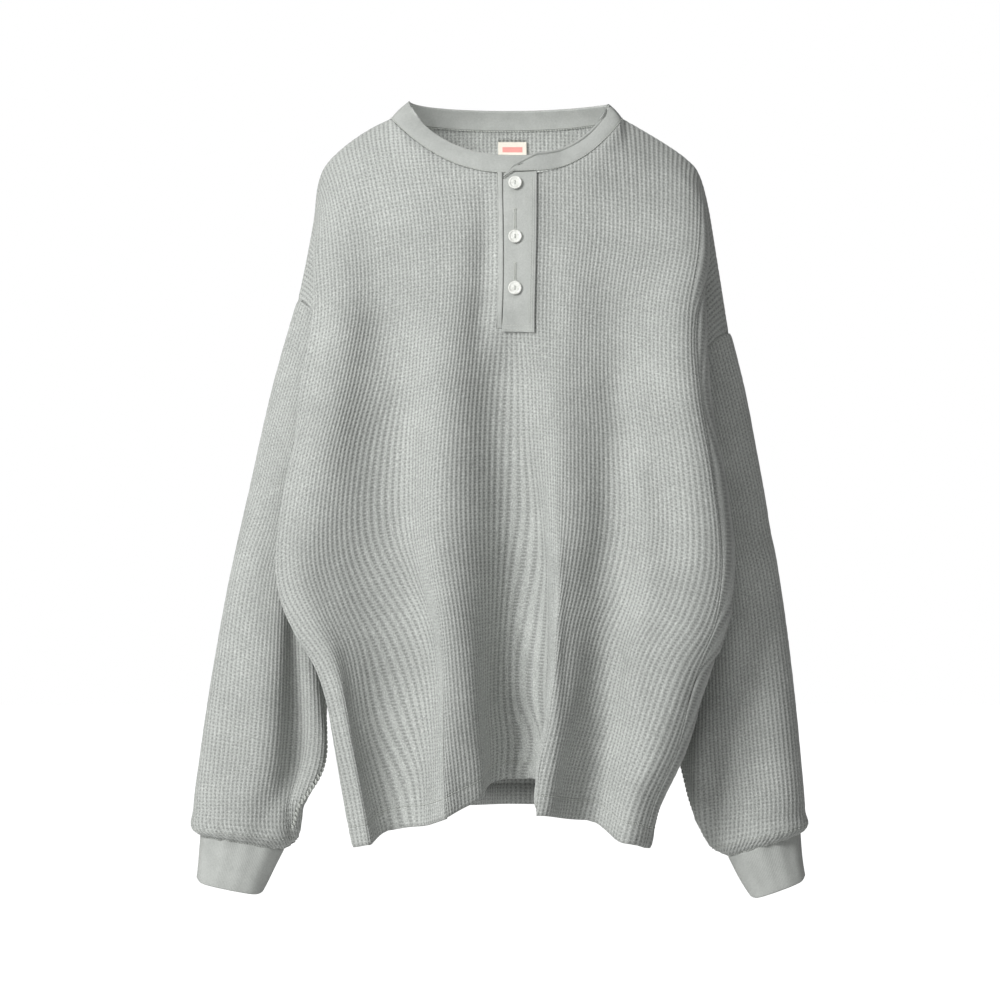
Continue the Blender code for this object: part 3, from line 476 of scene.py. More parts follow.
def crease_height(across, down, creases):
    """How far soft troughs and ridges move the cloth, at places of the cut."""
    total = np.zeros(np.broadcast(across, down).shape)
    for across_0, down_0, across_1, down_1, width, height in creases:
        run, fall = across_1 - across_0, down_1 - down_0
        length = math.hypot(run, fall)
        t = ((across - across_0) * run + (down - down_0) * fall) / length**2
        off = ((across - across_0) * fall - (down - down_0) * run) / length
        total += height * np.clip(1 - (2 * t - 1) ** 2, 0, 1) ** 1.5 * np.exp(-((off / width) ** 2))
    return total


class Cloth:
    """Gathers the points of one piece, their places in the cut, and its faces."""

    def __init__(self):
        self.points, self.places, self.faces, self.count = [], [], [], 0

    def lay(self, points, across, down):
        """Adds points with their places in the cut, counted in wales and courses, and gives their
        numbers."""
        numbers = self.count + np.arange(points[..., 0].size).reshape(points.shape[:-1])
        self.points.append(points.reshape(-1, 3))
        spread = np.broadcast_arrays(across, down, points[..., 0])[:2]
        self.places.append(np.stack(spread, axis=-1).reshape(-1, 2))
        self.count += numbers.size
        return numbers

    def join(self, *corners):
        """Adds triangles, but none with two corners in one place."""
        faces = np.stack(np.broadcast_arrays(*corners), axis=-1).reshape(-1, 3)
        self.faces.append(faces[np.all(faces != np.roll(faces, 1, axis=1), axis=1)])

    def weave(self, numbers):
        """Plain faces between rows and columns of points."""
        a, b, c, d = numbers[:-1, :-1], numbers[:-1, 1:], numbers[1:, 1:], numbers[1:, :-1]
        self.join(a, b, c)
        self.join(a, c, d)

    def knit(self, numbers):
        """Waffle faces. Columns are a rib and a groove in turn, rows a rung and a pit in turn."""
        rung, pit, next_rung = numbers[:-2:2], numbers[1:-1:2], numbers[2::2]
        groove = slice(1, -1, 2)
        for rib in (slice(0, -2, 2), slice(2, None, 2)):
            self.join(rung[:, rib], rung[:, groove], pit[:, groove])
            self.join(rung[:, rib], pit[:, groove], next_rung[:, rib])
            self.join(next_rung[:, rib], pit[:, groove], next_rung[:, groove])

    def bridge(self, edge, at_edge, other, at_other):
        """Closes the gap between two edges whose points lie at rising places along the seam."""
        i = j = 0
        faces = []
        while i < len(edge) - 1 or j < len(other) - 1:
            last_i, last_j = i == len(edge) - 1, j == len(other) - 1
            if last_j or (not last_i and at_edge[i + 1] <= at_other[j + 1]):
                faces.append((edge[i], edge[i + 1], other[j]))
                i += 1
            else:
                faces.append((edge[i], other[j + 1], other[j]))
                j += 1
        self.join(*np.array(faces).T)

    def make(self, name, finish):
        """The finished piece, with its places in the cut as its UV map."""
        points, places, faces = (np.vstack(part) for part in (self.points, self.places, self.faces))
        used, faces = np.unique(faces, return_inverse=True)
        mesh = bpy.data.meshes.new(name)
        mesh.from_pydata(points[used].tolist(), [], faces.reshape(-1, 3).tolist())
        cut = mesh.uv_layers.new(name="cut")
        corners = np.empty(len(mesh.loops), np.int32)
        mesh.loops.foreach_get("vertex_index", corners)
        cut.data.foreach_set("uv", places[used][corners].astype(np.float32).ravel())
        work = bmesh.new()
        work.from_mesh(mesh)
        bmesh.ops.remove_doubles(work, verts=work.verts, dist=1e-7)
        bmesh.ops.recalc_face_normals(work, faces=work.faces)
        work.to_mesh(mesh)
        work.free()
        mesh.shade_smooth()
        mesh.materials.append(finish)
        piece = bpy.data.objects.new(name, mesh)
        bpy.context.scene.collection.objects.link(piece)
        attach(piece, "root")
        return piece


def feed(node, inputs):
    """Sets or links a node's sockets."""
    for name, value in inputs.items():
        if isinstance(value, Socket):
            value.tree.links.new(value.output, node.inputs[name])
        else:
            node.inputs[name].default_value = value


class Socket:
    """A node's output. Sums of values add Math nodes; any other node is made by node()."""

    def __init__(self, tree, output=None):
        self.tree, self.output = tree, output

    def node(self, kind, settings=None, inputs=None, output=0):
        made = self.tree.nodes.new(kind)
        for name, value in (settings or {}).items():
            setattr(made, name, value)
        feed(made, inputs or {})
        return Socket(self.tree, made.outputs[output])

    def sum(self, operation, *values):
        return self.node("ShaderNodeMath", {"operation": operation}, dict(enumerate(values)))

    def __add__(self, other):
        return self.sum("ADD", self, other)

    def __sub__(self, other):
        return self.sum("SUBTRACT", self, other)

    def __rsub__(self, other):
        return self.sum("SUBTRACT", other, self)

    def __mul__(self, other):
        return self.sum("MULTIPLY", self, other)

    __radd__, __rmul__ = __add__, __mul__

    def cosine(self):
        return self.sum("COSINE", self)

    def between(self, low, high):
        """0 below low, 1 above high, and a smooth rise from one to the other."""
        inputs = {"Value": self, "From Min": low, "From Max": high}
        return self.node("ShaderNodeMapRange", {"interpolation_type": "SMOOTHSTEP"}, inputs)

    def mix(self, colour, other):
        """From one colour to another by this share."""
        inputs = {0: self, 6: colour, 7: other}
        return self.node("ShaderNodeMix", {"data_type": "RGBA"}, inputs, 2)

    def noise(self, place, scale, detail=2.0, roughness=0.5):
        inputs = {"Vector": place, "Scale": scale, "Detail": detail, "Roughness": roughness}
        return self.node("ShaderNodeTexNoise", None, inputs)


def new_finish(name):
    """A blank material, its shader, and a socket to start its nodes from."""
    finish = bpy.data.materials.new(name)
    finish.use_nodes = True
    return finish, finish.node_tree.nodes["Principled BSDF"], Socket(finish.node_tree)


def cloth_material(name, look, roughness, sheen, bump_distance):
    """A cloth finish. look gives its colour, its change of roughness and its relief, from the place
    in the cut and on the body."""
    finish, shader, start = new_finish(name)
    cut = start.node("ShaderNodeUVMap", {"uv_map": "cut"})
    across = start.node("ShaderNodeSeparateXYZ", None, {0: cut}, 0)
    down = start.node("ShaderNodeSeparateXYZ", None, {0: cut}, 1)
    body = start.node("ShaderNodeTexCoord", None, None, 3)
    colour, rough, relief = look(start, across, down, body)
    bump = start.node("ShaderNodeBump", None, {"Distance": bump_distance, "Height": relief})
    feed(shader, {
        "Base Color": colour, "Roughness": rough + roughness, "Normal": bump,
        "Specular IOR Level": 0.25, "Sheen Weight": sheen, "Sheen Roughness": 0.55,
    })
    return finish


HEATHER_DARK = (0.285, 0.296, 0.282, 1)
HEATHER_LIGHT = (0.606, 0.626, 0.600, 1)
# Painted shade: the dark colour mixed into the grooves and pits of the knits in place of their
# shadow.
PAINTED_SHADE_COLOUR = (0.120, 0.125, 0.118, 1)


def waffle_look(start, across, down, body):
    """Ribs of twisted yarn with rungs between them; the grooves, and most of all the pits, carry
    painted shade, and the yarn is flecked.
    """
    rib = 0.5 + 0.5 * (across * math.tau).cosine()
    rung = 0.5 + 0.5 * (down * math.tau).cosine()
    groove = 1 - rib
    relief = 1 - groove * (1 - 0.45 * rung)
    fleck = start.noise(body, 900.0, 2.0, 0.6)
    cloud = start.noise(body, 22.0, 2.0)
    tone = (fleck * 1.8 - 0.49 + (cloud - 0.5) * 0.35).between(0.0, 1.0)
    yarn = tone.mix(HEATHER_DARK, HEATHER_LIGHT)
    # Painted shade: the grooves darken, most of all in the pits between the rungs.
    shade = groove.between(0.15, 1.0) * (0.57 - 0.41 * rung)
    colour = shade.mix(yarn, PAINTED_SHADE_COLOUR)
    return colour, (fleck - 0.5) * 0.2, relief + fleck * 0.35


WAFFLE = cloth_material("waffle_knit", waffle_look, 0.90, 0.12, 0.00045)

LEFT = np.linspace(-HALF_PANEL, SLIT_LEFT, 2 * LEFT_WALES + 1)
MIDDLE = np.linspace(SLIT_LEFT, SLIT_RIGHT, 2 * SLIT_WALES + 1)
RIGHT = np.linspace(SLIT_RIGHT, HALF_PANEL, 2 * RIGHT_WALES + 1)
COLUMNS = np.concatenate((LEFT, MIDDLE[1:], RIGHT[1:]))
SLIT_START, SLIT_STOP = 2 * LEFT_WALES, 2 * (LEFT_WALES + SLIT_WALES)
COURSES = 192
ROWS = HEM - COURSE / 2 * np.arange(2 * COURSES, -1, -1)


def inner_places(count, step, extra=()):
    """Every step-th of count rows or columns, with the first, the last and the extra ones."""
    return np.array(sorted({*range(0, count, step), count - 1, *extra}))


def build_panel(name, cloth, slit):
    """A panel: the waffle outside, a plain inside, and a turned-up hem."""
    panel = Panel(*cloth, COLUMNS)
    heights = np.maximum(ROWS[:, None], panel.top_heights)
    points, normals = panel.surface(heights)
    u = np.broadcast_to(COLUMNS, heights.shape)
    from_side = np.maximum(HALF_PANEL - np.abs(u), 0)
    from_edge = np.minimum(np.minimum(heights - panel.top_heights, HEM - heights), from_side)
    even = np.clip(from_edge / SEAM_FADE, 0, 1)
    row_is_pit = (np.arange(len(ROWS)) % 2 == 1)[:, None]
    column_is_groove = np.arange(len(COLUMNS)) % 2 == 1
    relief = np.where(column_is_groove, np.where(row_is_pit, -PIT_DOWN, -RUNG_DOWN), RIB_UP)
    stitched = np.exp(-(((HEM - HEM_TURNED - heights) / HEM_FURROW_HALF) ** 2))
    uneven = np.random.default_rng(3).normal(0, UNEVEN, relief.shape)
    lift = (relief + uneven) * (0.25 + 0.75 * even) - SEAM_DIP * (1 - even) ** 2
    lift = lift - HEM_FURROW * stitched
    outer = points + normals * lift[..., None]

    cloth = Cloth()
    wale = np.arange(len(COLUMNS)) / 2
    numbers = cloth.lay(outer, wale, heights / COURSE)
    above = ROWS[:, None] < panel.top_heights
    first = np.maximum(np.argmin(above, axis=0) - 1, 0)
    numbers = np.where(above, numbers[first, np.arange(len(COLUMNS))], numbers)

    slit_row = 2 * round((SLIT_BOTTOM - ROWS[0]) / COURSE)
    rows = inner_places(len(ROWS), 6, (slit_row, len(ROWS) - 12, len(ROWS) - 11))
    columns = inner_places(len(COLUMNS), 4, (SLIT_START, SLIT_STOP))
    pick = np.ix_(rows, columns)
    wall = np.where(HEM - heights[pick] <= HEM_TURNED + 0.0001, HEM_KNIT, KNIT)
    inner = points[pick] - normals[pick] * wall[..., None]
    inner_numbers = cloth.lay(inner, wale[columns], heights[pick] / COURSE)
    first = np.maximum(np.argmin(above[pick], axis=0) - 1, 0)
    top_numbers = inner_numbers[first, np.arange(len(columns))]
    inner_numbers = np.where(above[pick], top_numbers, inner_numbers)

    inner_slit_row = list(rows).index(slit_row)
    blocks = [(0, len(COLUMNS) - 1, False)]
    if slit:
        blocks = [(0, SLIT_START, False), (SLIT_START, SLIT_STOP, True),
                  (SLIT_STOP, len(COLUMNS) - 1, False)]
    for start, stop, opened in blocks:
        kept = (columns >= start) & (columns <= stop)
        outer_part, inner_part = numbers[:, start: stop + 1], inner_numbers[:, kept]
        if opened:
            higher = np.arange(len(ROWS))[:, None] < slit_row
            outer_part = np.where(higher, outer_part[slit_row], outer_part)
            inner_part = np.where(higher[rows], inner_part[inner_slit_row], inner_part)
        cloth.knit(outer_part)
        cloth.weave(inner_part)
        for row in (0, -1):
            at_outer, at_inner = COLUMNS[start: stop + 1], COLUMNS[columns[kept]]
            cloth.bridge(outer_part[row], at_outer, inner_part[row], at_inner)
    edges = [(0, len(ROWS) - 1), (len(COLUMNS) - 1, len(ROWS) - 1)]
    if slit:
        edges += [(SLIT_START, slit_row), (SLIT_STOP, slit_row)]
    for j, last in edges:
        kept = rows <= last
        inside = inner_numbers[kept, list(columns).index(j)]
        cloth.bridge(numbers[: last + 1: 2, j], ROWS[: last + 1: 2], inside, ROWS[rows[kept]])
    return cloth.make(name, WAFFLE)


front = build_panel("front_knit", FRONT_CLOTH, slit=True)
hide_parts("front")

# ------------------------------------------------------------------------------------------------
# Back. The same waffle knit, cut square and as wide as the front, with a higher neckline. It hangs
# in its own folds behind, and its turned-up hem shows from the front in the middle recess.
# ------------------------------------------------------------------------------------------------

BACK_SECTIONS = (
    # height, left, right, reach, fold, course_radius, tuck_left, tuck_right, hem_share, lean
    (0.105, -0.188, 0.178, 0.068, 0.003, 0.60, 0.008, 0.008, 0.00, 0.000),
    (0.160, -0.190, 0.180, 0.083, 0.006, 0.55, 0.015, 0.019, 0.00, 0.000),
    (0.225, -0.200, 0.184, 0.090, 0.010, 0.50, 0.029, 0.031, 0.00, 0.000),
    (0.300, -0.208, 0.188, 0.092, 0.016, 0.44, 0.036, 0.035, 0.00, 0.000),
    (0.385, -0.206, 0.186, 0.094, 0.024, 0.40, 0.028, 0.030, 0.00, 0.000),
    (0.430, -0.197, 0.180, 0.094, 0.029, 0.39, 0.020, 0.022, 0.03, 0.000),
    (0.475, -0.184, 0.170, 0.094, 0.034, 0.38, 0.012, 0.014, 0.10, 0.000),
    (0.565, -0.164, 0.150, 0.093, 0.042, 0.36, 0.004, 0.006, 0.45, 0.000),
    (0.620, -0.152, 0.130, 0.092, 0.047, 0.34, 0.001, 0.001, 0.80, 0.000),
    (0.658, -0.145, 0.122, 0.091, 0.050, 0.33, 0.000, 0.000, 1.00, 0.000),
)
BACK_FOLDS = (
    # at_chest, at_hem, height, hem_dip
    (0.000, 0.000, 0.20, 0.036),
    (0.070, 0.050, 0.60, 0.034),
    (0.240, 0.210, -0.80, 0.018),
    (0.400, 0.380, 0.90, 0.010),
    (0.560, 0.560, -0.70, 0.006),
    (0.700, 0.730, 1.00, 0.008),
    (0.830, 0.830, -0.90, 0.018),
    (0.930, 0.940, 0.60, 0.040),
    (1.000, 1.000, 0.20, 0.040),
)
BACK_CREASES = (
    # across_0, down_0, across_1, down_1, width, height
    (-0.130, 0.060, -0.060, 0.300, 0.020, -0.0030),
    (0.140, 0.050, 0.076, 0.280, 0.022, -0.0035),
    (-0.100, 0.260, -0.116, 0.700, 0.021, -0.0070),
    (-0.030, 0.300, -0.020, 0.620, 0.018, 0.0040),
    (0.036, 0.330, 0.044, 0.800, 0.017, -0.0065),
    (0.140, 0.280, 0.150, 0.640, 0.018, -0.0050),
    (0.010, 0.060, 0.016, 0.260, 0.020, -0.0022),
    (-0.182, 0.300, -0.168, 0.560, 0.015, 0.0030),
)
BACK_CLOTH = (BACK_SECTIONS, BACK_FOLDS, BACK_CREASES, 1)

back = build_panel("back_knit", BACK_CLOTH, slit=False)
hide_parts("back")

# ------------------------------------------------------------------------------------------------
# Hem sewing. The turned-up hems are held by a cover stitch: one line of thread that shows on the
# outside of the front and back, in a slight furrow, 19 mm above the edge.
# ------------------------------------------------------------------------------------------------

THREAD = 0.00042
HEM_STITCH = 0.0030
HEM_SUNK = 0.0003
STITCH_SIDES = 6
STITCH_FORM = (
    # along, thickness, height
    (-0.50, 0.30, -0.9),
    (-0.36, 0.85, 0.2),
    (0.00, 1.00, 0.7),
    (0.36, 0.85, 0.2),
    (0.50, 0.30, -0.9),
)


def thread_look(start, across, down, body):
    """Spun thread, a little paler than the cloth, with a fine twist."""
    twist = 0.5 + 0.5 * (across * (math.tau * 2) + down * (math.tau * 2)).cosine()
    fleck = start.noise(body, 1500.0, 2.0)
    colour = (fleck * 0.7 + twist * 0.3).mix((0.42, 0.44, 0.41, 1), (0.62, 0.64, 0.60, 1))
    return colour, (fleck - 0.5) * 0.15, twist


THREAD_FINISH = cloth_material("sewing_thread", thread_look, 0.75, 0.10, 0.00008)


def spaced(path, outward, pitch):
    """Places at an even pitch along a path, with the outward direction and the run at each."""
    lengths = distances(path)
    count = max(int(lengths[-1] / pitch), 1)
    at = (np.arange(count) + 0.5) * lengths[-1] / count
    ahead, behind = (read_path(at + step, lengths, path) for step in (pitch * 0.3, -pitch * 0.3))
    return read_path(at, lengths, path), unit(read_path(at, lengths, outward)), unit(ahead - behind)


def lay_stitches(cloth, places, facing, run, length, radius):
    """One short length of thread at each place, sunk into the cloth at both ends."""
    side = unit(np.cross(facing, run))[:, None, None]
    facing, run = facing[:, None, None], run[:, None, None]
    turn = np.arange(STITCH_SIDES + 1) * math.tau / STITCH_SIDES
    for_along, for_thick, for_high = np.array(STITCH_FORM).T
    centre = (
        places[:, None, None]
        + run * (for_along * length)[None, :, None, None]
        + facing * (for_high * radius)[None, :, None, None]
    )
    ring = side * np.cos(turn)[None, None, :, None] + facing * np.sin(turn)[None, None, :, None]
    points = centre + ring * (for_thick * radius)[None, :, None, None]
    for stitch in cloth.lay(points, turn / math.tau, for_along[None, :, None] * length / 0.001):
        cloth.weave(stitch)


hem_sewing = Cloth()
for cloth in (FRONT_CLOTH, BACK_CLOTH):
    line = Panel(*cloth, np.linspace(-HALF_PANEL, HALF_PANEL, 301))
    path, outward = line.surface(np.full((1, 301), HEM - HEM_TURNED))
    stitched = spaced(path[0] - outward[0] * HEM_SUNK, outward[0], HEM_STITCH)
    lay_stitches(hem_sewing, *stitched, HEM_STITCH * 0.94, THREAD)
hem_sewing = hem_sewing.make("hem_sewing", THREAD_FINISH)

# ------------------------------------------------------------------------------------------------
# Sleeves. Two tubes of the same waffle knit, each closed by an inseam down its inner side. The wales
# run along the sleeve and are cut off at the inseam. Each end is gathered into its cuff.
# ------------------------------------------------------------------------------------------------

WALE = 0.0041
ROUND = 240
GATHERS = 0.0006
GATHER_RUN = 0.016
PUFF = 0.0028
PUFF_PLACE = 0.008
PUFF_HALF = 0.0065
INSEAM_FADE = 0.016
INSEAM_REACH = 0.030
DRAWN_START = 0.27
DRAWN_RUN = 0.10
DRAWN_END = 0.03
SLEEVE_CREASES = {
    # around, down the sleeve, around, down, width, height; around runs from the outer edge forwards
    "left": (
        (0.106, 0.130, 0.120, 0.560, 0.014, -0.0135),
        (0.140, 0.300, 0.151, 0.503, 0.013, 0.0050),
        (0.022, 0.160, 0.120, 0.530, 0.024, 0.0056),
        (0.114, 0.367, 0.123, 0.486, 0.013, -0.0035),
        (0.038, 0.150, 0.018, 0.535, 0.021, 0.0085),
        (0.039, 0.214, 0.110, 0.120, 0.032, -0.0100),
        (-0.120, 0.200, -0.030, 0.245, 0.017, -0.0040),
        (-0.110, 0.320, -0.040, 0.350, 0.015, -0.0035),
        (-0.070, 0.300, -0.080, 0.520, 0.014, -0.0050),
    ),
    "right": (
        (0.116, 0.343, 0.103, 0.467, 0.010, -0.0070),
        (0.115, 0.290, 0.129, 0.520, 0.012, 0.0074),
        (0.105, 0.176, 0.125, 0.420, 0.023, -0.0060),
        (0.065, 0.248, 0.070, 0.476, 0.018, -0.0040),
        (0.004, -0.050, 0.030, 0.580, 0.024, 0.0090),
        (0.000, 0.196, 0.073, 0.150, 0.018, -0.0032),
        (-0.115, 0.210, -0.030, 0.240, 0.017, -0.0040),
        (-0.110, 0.330, -0.050, 0.345, 0.015, -0.0035),
        (-0.074, 0.280, -0.082, 0.500, 0.014, -0.0050),
    ),
}


def sleeve_tube(table, side):
    """The sleeve's surface as rings of points, two for each course."""
    angles = np.linspace(0, math.tau, ROUND, endpoint=False)
    rings = np.array([[ring_point(ring, angle) for angle in angles] for ring in table])
    ends = rings.mean(axis=1)
    knots = distances(ends)
    trial = np.linspace(0, knots[-1], 600)
    path = through(knots, rings[:, ROUND // 7], trial)
    length = distances(path)
    wanted = np.linspace(0, length[-1], 2 * round(length[-1] / COURSE) + 1)
    tube = through(knots, rings, np.interp(wanted, length, trial))
    across = np.roll(tube, -1, axis=1) - np.roll(tube, 1, axis=1)
    return tube, unit(np.cross(across, np.gradient(tube, axis=0))) * side, length[-1]


def build_sleeve(name, table, side, pulled, seam_forward):
    """A sleeve. pulled is how far its inseam is drawn aside low down, and seam_forward is how far in
    front of the edge of the cut the inseam's ladder lies."""
    creases = SLEEVE_CREASES[name]
    tube, normals, length = sleeve_tube(table, side)
    rows = len(tube)
    closed = np.concatenate((tube, tube[:, :1]), axis=1)
    closed_normals = np.concatenate((normals, normals[:, :1]), axis=1)
    lengths = np.concatenate(
        (np.zeros((rows, 1)), np.cumsum(np.linalg.norm(np.diff(closed, axis=1), axis=-1), axis=1)),
        axis=1,
    )
    front_half, whole = lengths[:, ROUND // 2], lengths[:, -1]
    back_half = whole - front_half
    half = math.ceil(max(front_half.max(), back_half.max()) / (WALE / 2))
    half += half % 2
    column = np.arange(-half, half + 1)
    around = np.clip(column * WALE / 2, -back_half[:, None], front_half[:, None])
    read = np.where(around < 0, around + whole[:, None], around)
    points, outward = (
        np.array([read_path(read[i], lengths[i], way[i]) for i in range(rows)])
        for way in (closed, closed_normals)
    )
    outward = unit(outward)
    down = np.linspace(0, length, rows)[:, None]
    from_inseam = np.minimum(front_half[:, None] - around, around + back_half[:, None])
    from_edge = np.minimum(from_inseam, np.minimum(down, length - down))
    even = np.clip(from_edge / SEAM_FADE, 0, 1)
    row_is_pit = (np.arange(rows) % 2 == 1)[:, None]
    relief = np.where(column % 2 == 1, np.where(row_is_pit, -PIT_DOWN, -RUNG_DOWN), RIB_UP)
    share = around / whole[:, None]
    gather = np.cos(share * math.tau * 15 + 1.3 * np.cos(share * math.tau * 4))
    gather = gather * np.exp(-(length - down) / GATHER_RUN)
    puff = PUFF * np.exp(-(((length - down - PUFF_PLACE) / PUFF_HALF) ** 2))
    uneven = np.random.default_rng(5).normal(0, UNEVEN, even.shape)
    lift = (relief + uneven) * (0.25 + 0.75 * even) - SEAM_DIP * (1 - even) ** 2
    lift = lift + GATHERS * gather + puff
    drawn = np.clip((down - DRAWN_START) / DRAWN_RUN, 0, 1)
    drawn = drawn * np.clip((length - down) / DRAWN_END, 0, 1)
    broad = crease_height(around, down, creases) * np.clip(from_inseam / INSEAM_FADE, 0, 1)
    settled = points + outward * broad[..., None]
    settled += (np.exp(-((from_inseam / INSEAM_REACH) ** 2)) * drawn)[..., None] * pulled
    outer = settled + outward * lift[..., None]

    cloth = Cloth()
    numbers = cloth.lay(outer, around / WALE, down / COURSE)
    numbers = np.where(column * WALE / 2 >= front_half[:, None], numbers[:, -1:], numbers)
    numbers = np.where(column * WALE / 2 <= -back_half[:, None], numbers[:, :1], numbers)
    cloth.knit(numbers)
    picked = inner_places(rows, 6)
    turn = (ROUND // 2 + np.arange(0, ROUND + 1, 3)) % ROUND
    behind = np.arange(len(turn)) <= (len(turn) - 1) // 2 - 1
    inner_around = lengths[picked][:, turn] - np.where(behind, whole[picked, None], 0)
    inner_around[:, 0] = -back_half[picked]
    inner_end = np.minimum(
        front_half[picked, None] - inner_around, inner_around + back_half[picked, None]
    )
    depth = crease_height(inner_around, down[picked], creases)
    depth = depth * np.clip(inner_end / INSEAM_FADE, 0, 1) - KNIT
    inner = tube[picked][:, turn] + normals[picked][:, turn] * depth[..., None]
    inner += (np.exp(-((inner_end / INSEAM_REACH) ** 2)) * drawn[picked])[..., None] * pulled
    inner_numbers = cloth.lay(inner, inner_around / WALE, down[picked] / COURSE)
    cloth.weave(inner_numbers)
    for row in (0, -1):
        cloth.bridge(numbers[row], around[row], inner_numbers[row], inner_around[row])
    sleeve = cloth.make(f"sleeve_{name}_knit", WAFFLE)
    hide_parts(f"sleeve_{name}")
    top, bottom = 2 * (UNDERARM - ARMHOLE_TOP), whole[-20]
    length * (top + bottom) / 2
    at = front_half[:, None] - seam_forward
    inseam = [
        np.array([read_path(at[i], around[i], way[i])[0] for i in range(rows)])
        for way in (settled, outward)
    ]
    return outer, outward, inseam


sleeves = {
    "left": build_sleeve("left", SLEEVE_LEFT, -1, np.array((-0.0065, -0.017, 0.0)), 0.0145),
    "right": build_sleeve("right", SLEEVE_RIGHT, 1, np.zeros(3), 0.0065),
}

# ------------------------------------------------------------------------------------------------
# Cuffs. Two bands of plain fine jersey, folded double at the wrist edge, which draw in the sleeve's
# end. The raw edges are inside the seam at the top.
# ------------------------------------------------------------------------------------------------

CUFF = 0.0030
CUFF_LEFT = (
    # outer_x, outer_z, inner_x, inner_z, depth, middle, swing, groove, point
    SLEEVE_LEFT[-1],
    (-0.302, -0.712, -0.229, -0.722, 0.022, 0.001, 0.000, 0.000, 0.00),
    (-0.304, -0.734, -0.240, -0.747, 0.020, 0.000, 0.000, 0.000, 0.00),
)
CUFF_RIGHT = (
    SLEEVE_RIGHT[-1],
    (0.280, -0.709, 0.218, -0.729, 0.022, 0.001, 0.000, 0.000, 0.00),
    (0.283, -0.732, 0.230, -0.751, 0.020, 0.000, 0.000, 0.000, 0.00),
)
CUFF_LENGTH = 0.048
CUFF_RIPPLE = 0.0005
CUFF_CORNER = 0.0040
JERSEY_WALE = 0.0012
JERSEY_COURSE = 0.0010


def jersey_look(start, across, down, body):
    """Fine plain knit: small V stitches in rows, mottled grey yarn."""
    lean = (across * math.tau).cosine() * 0.35
    stitch = (down * math.tau + lean * math.tau).cosine() * 0.5 + 0.5
    rib = (across * math.tau).cosine() * 0.5 + 0.5
    relief = stitch * 0.4 + rib * 0.6
    fleck = start.noise(body, 700.0, 3.0, 0.6)
    cloud = start.noise(body, 60.0, 2.0)
    tone = (fleck * 0.9 + cloud * 0.6 - 0.25).between(0.0, 1.0)
    yarn = tone.mix((0.345, 0.358, 0.341, 1), (0.500, 0.517, 0.493, 1))
    # Painted shade darkens the grooves between the fine ribs.
    colour = ((1 - rib) * 0.16).mix(yarn, PAINTED_SHADE_COLOUR)
    return colour, (fleck - 0.5) * 0.15, relief + fleck * 0.5


JERSEY = cloth_material("plain_jersey", jersey_look, 0.88, 0.12, 0.00014)


def edged(length, radius, step):
    """Places along a length, at an even step but close together where the edges are rounded."""
    near = np.array((0.0, 0.12, 0.35, 0.7, 1.0)) * radius
    count = max(round((length - 2 * radius) / step), 1)
    middle = np.linspace(radius, length - radius, count + 1)[1:-1]
    return np.concatenate((near, middle, length - near[::-1]))


def lay_band(cloth, outer, normals, thickness, from_edge, across, down):
    """Two layers with rounded edges. from_edge is how far each point is from the nearest edge."""
    from_edge = np.where(from_edge < 1e-9, 0.0, from_edge)
    plump = np.sqrt(1 - (1 - np.clip(from_edge / (thickness / 2), 0, 1)) ** 2)[..., None]
    middle = outer - normals * thickness / 2
    face = cloth.lay(middle + normals * plump * thickness / 2, across, down)
    lining = cloth.lay(middle - normals * plump * thickness / 2, across, down)
    lining = np.where(from_edge == 0, face, lining)
    cloth.weave(face)
    cloth.weave(lining)


def build_cuff(name, table, side):
    """One cuff, as a tube that hangs from the sleeve's last ring."""
    angles = np.linspace(0, math.tau, 145)
    rings = np.array([[ring_point(ring, angle % math.tau) for angle in angles] for ring in table])
    down = edged(CUFF_LENGTH, CUFF / 2, 0.0020)
    grid = through(range(len(table)), rings, down / CUFF_LENGTH * (len(table) - 1))
    closed = grid[:, :-1]
    across = np.roll(closed, -1, axis=1) - np.roll(closed, 1, axis=1)
    normals = unit(np.cross(across, np.gradient(closed, down, axis=0))) * side
    normals = np.concatenate((normals, normals[:, :1]), axis=1)
    turn = angles / math.tau
    ripple = np.cos(math.tau * (11 * turn + 0.10 * np.cos(math.tau * 3 * turn)))
    fall = (down / CUFF_LENGTH)[:, None]
    grid = grid + normals * (CUFF_RIPPLE * ripple * (1 - 0.7 * fall))[..., None]
    grid[..., 2] += CUFF_CORNER * np.abs(np.cos(angles)) ** 12 * fall**4
    girth = float(np.linalg.norm(np.diff(grid[-1], axis=0), axis=1).sum())
    from_edge = np.broadcast_to(np.minimum(down, CUFF_LENGTH - down)[:, None], grid.shape[:2])
    cloth = Cloth()
    lay_band(cloth, grid, normals, CUFF, from_edge,
             turn * girth / JERSEY_WALE, down[:, None] / JERSEY_COURSE)
    cuff = cloth.make(f"cuff_{name}_jersey", JERSEY)
    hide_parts(f"cuff_{name}")


build_cuff("left", CUFF_LEFT, -1)
build_cuff("right", CUFF_RIGHT, 1)

# ------------------------------------------------------------------------------------------------
# Sleeve seams. Each inseam is an overlocked ladder of thread along the sleeve's inner side. Two
# lines of chain stitches hold the gathered end of each sleeve over its cuff.
# ------------------------------------------------------------------------------------------------

LADDER_PITCH = 0.0046
LADDER_LENGTH = 0.0082
LADDER_THREAD = 0.0013
LADDER_SUNK = 0.0004
STITCH_PITCH = 0.0026
CUFF_STITCH_ROWS = (-1, -6)
CUFF_STITCH = 0.0024
CUFF_THREAD = 0.00032
STITCH_SUNK = 0.0001

for name, (outer, faces, inseam) in sleeves.items():
    path, facing = (way[6:-3] for way in inseam)
    places, ladder_faces, run = spaced(path, facing, LADDER_PITCH)
    slanted = unit(run * 0.75 + unit(np.cross(ladder_faces, run)) * 0.65)
    ladder = Cloth()
    lay_stitches(ladder, places - ladder_faces * LADDER_SUNK, ladder_faces, slanted,
                 LADDER_LENGTH, LADDER_THREAD)
    ladder = ladder.make(f"inseam_{name}", THREAD_FINISH)

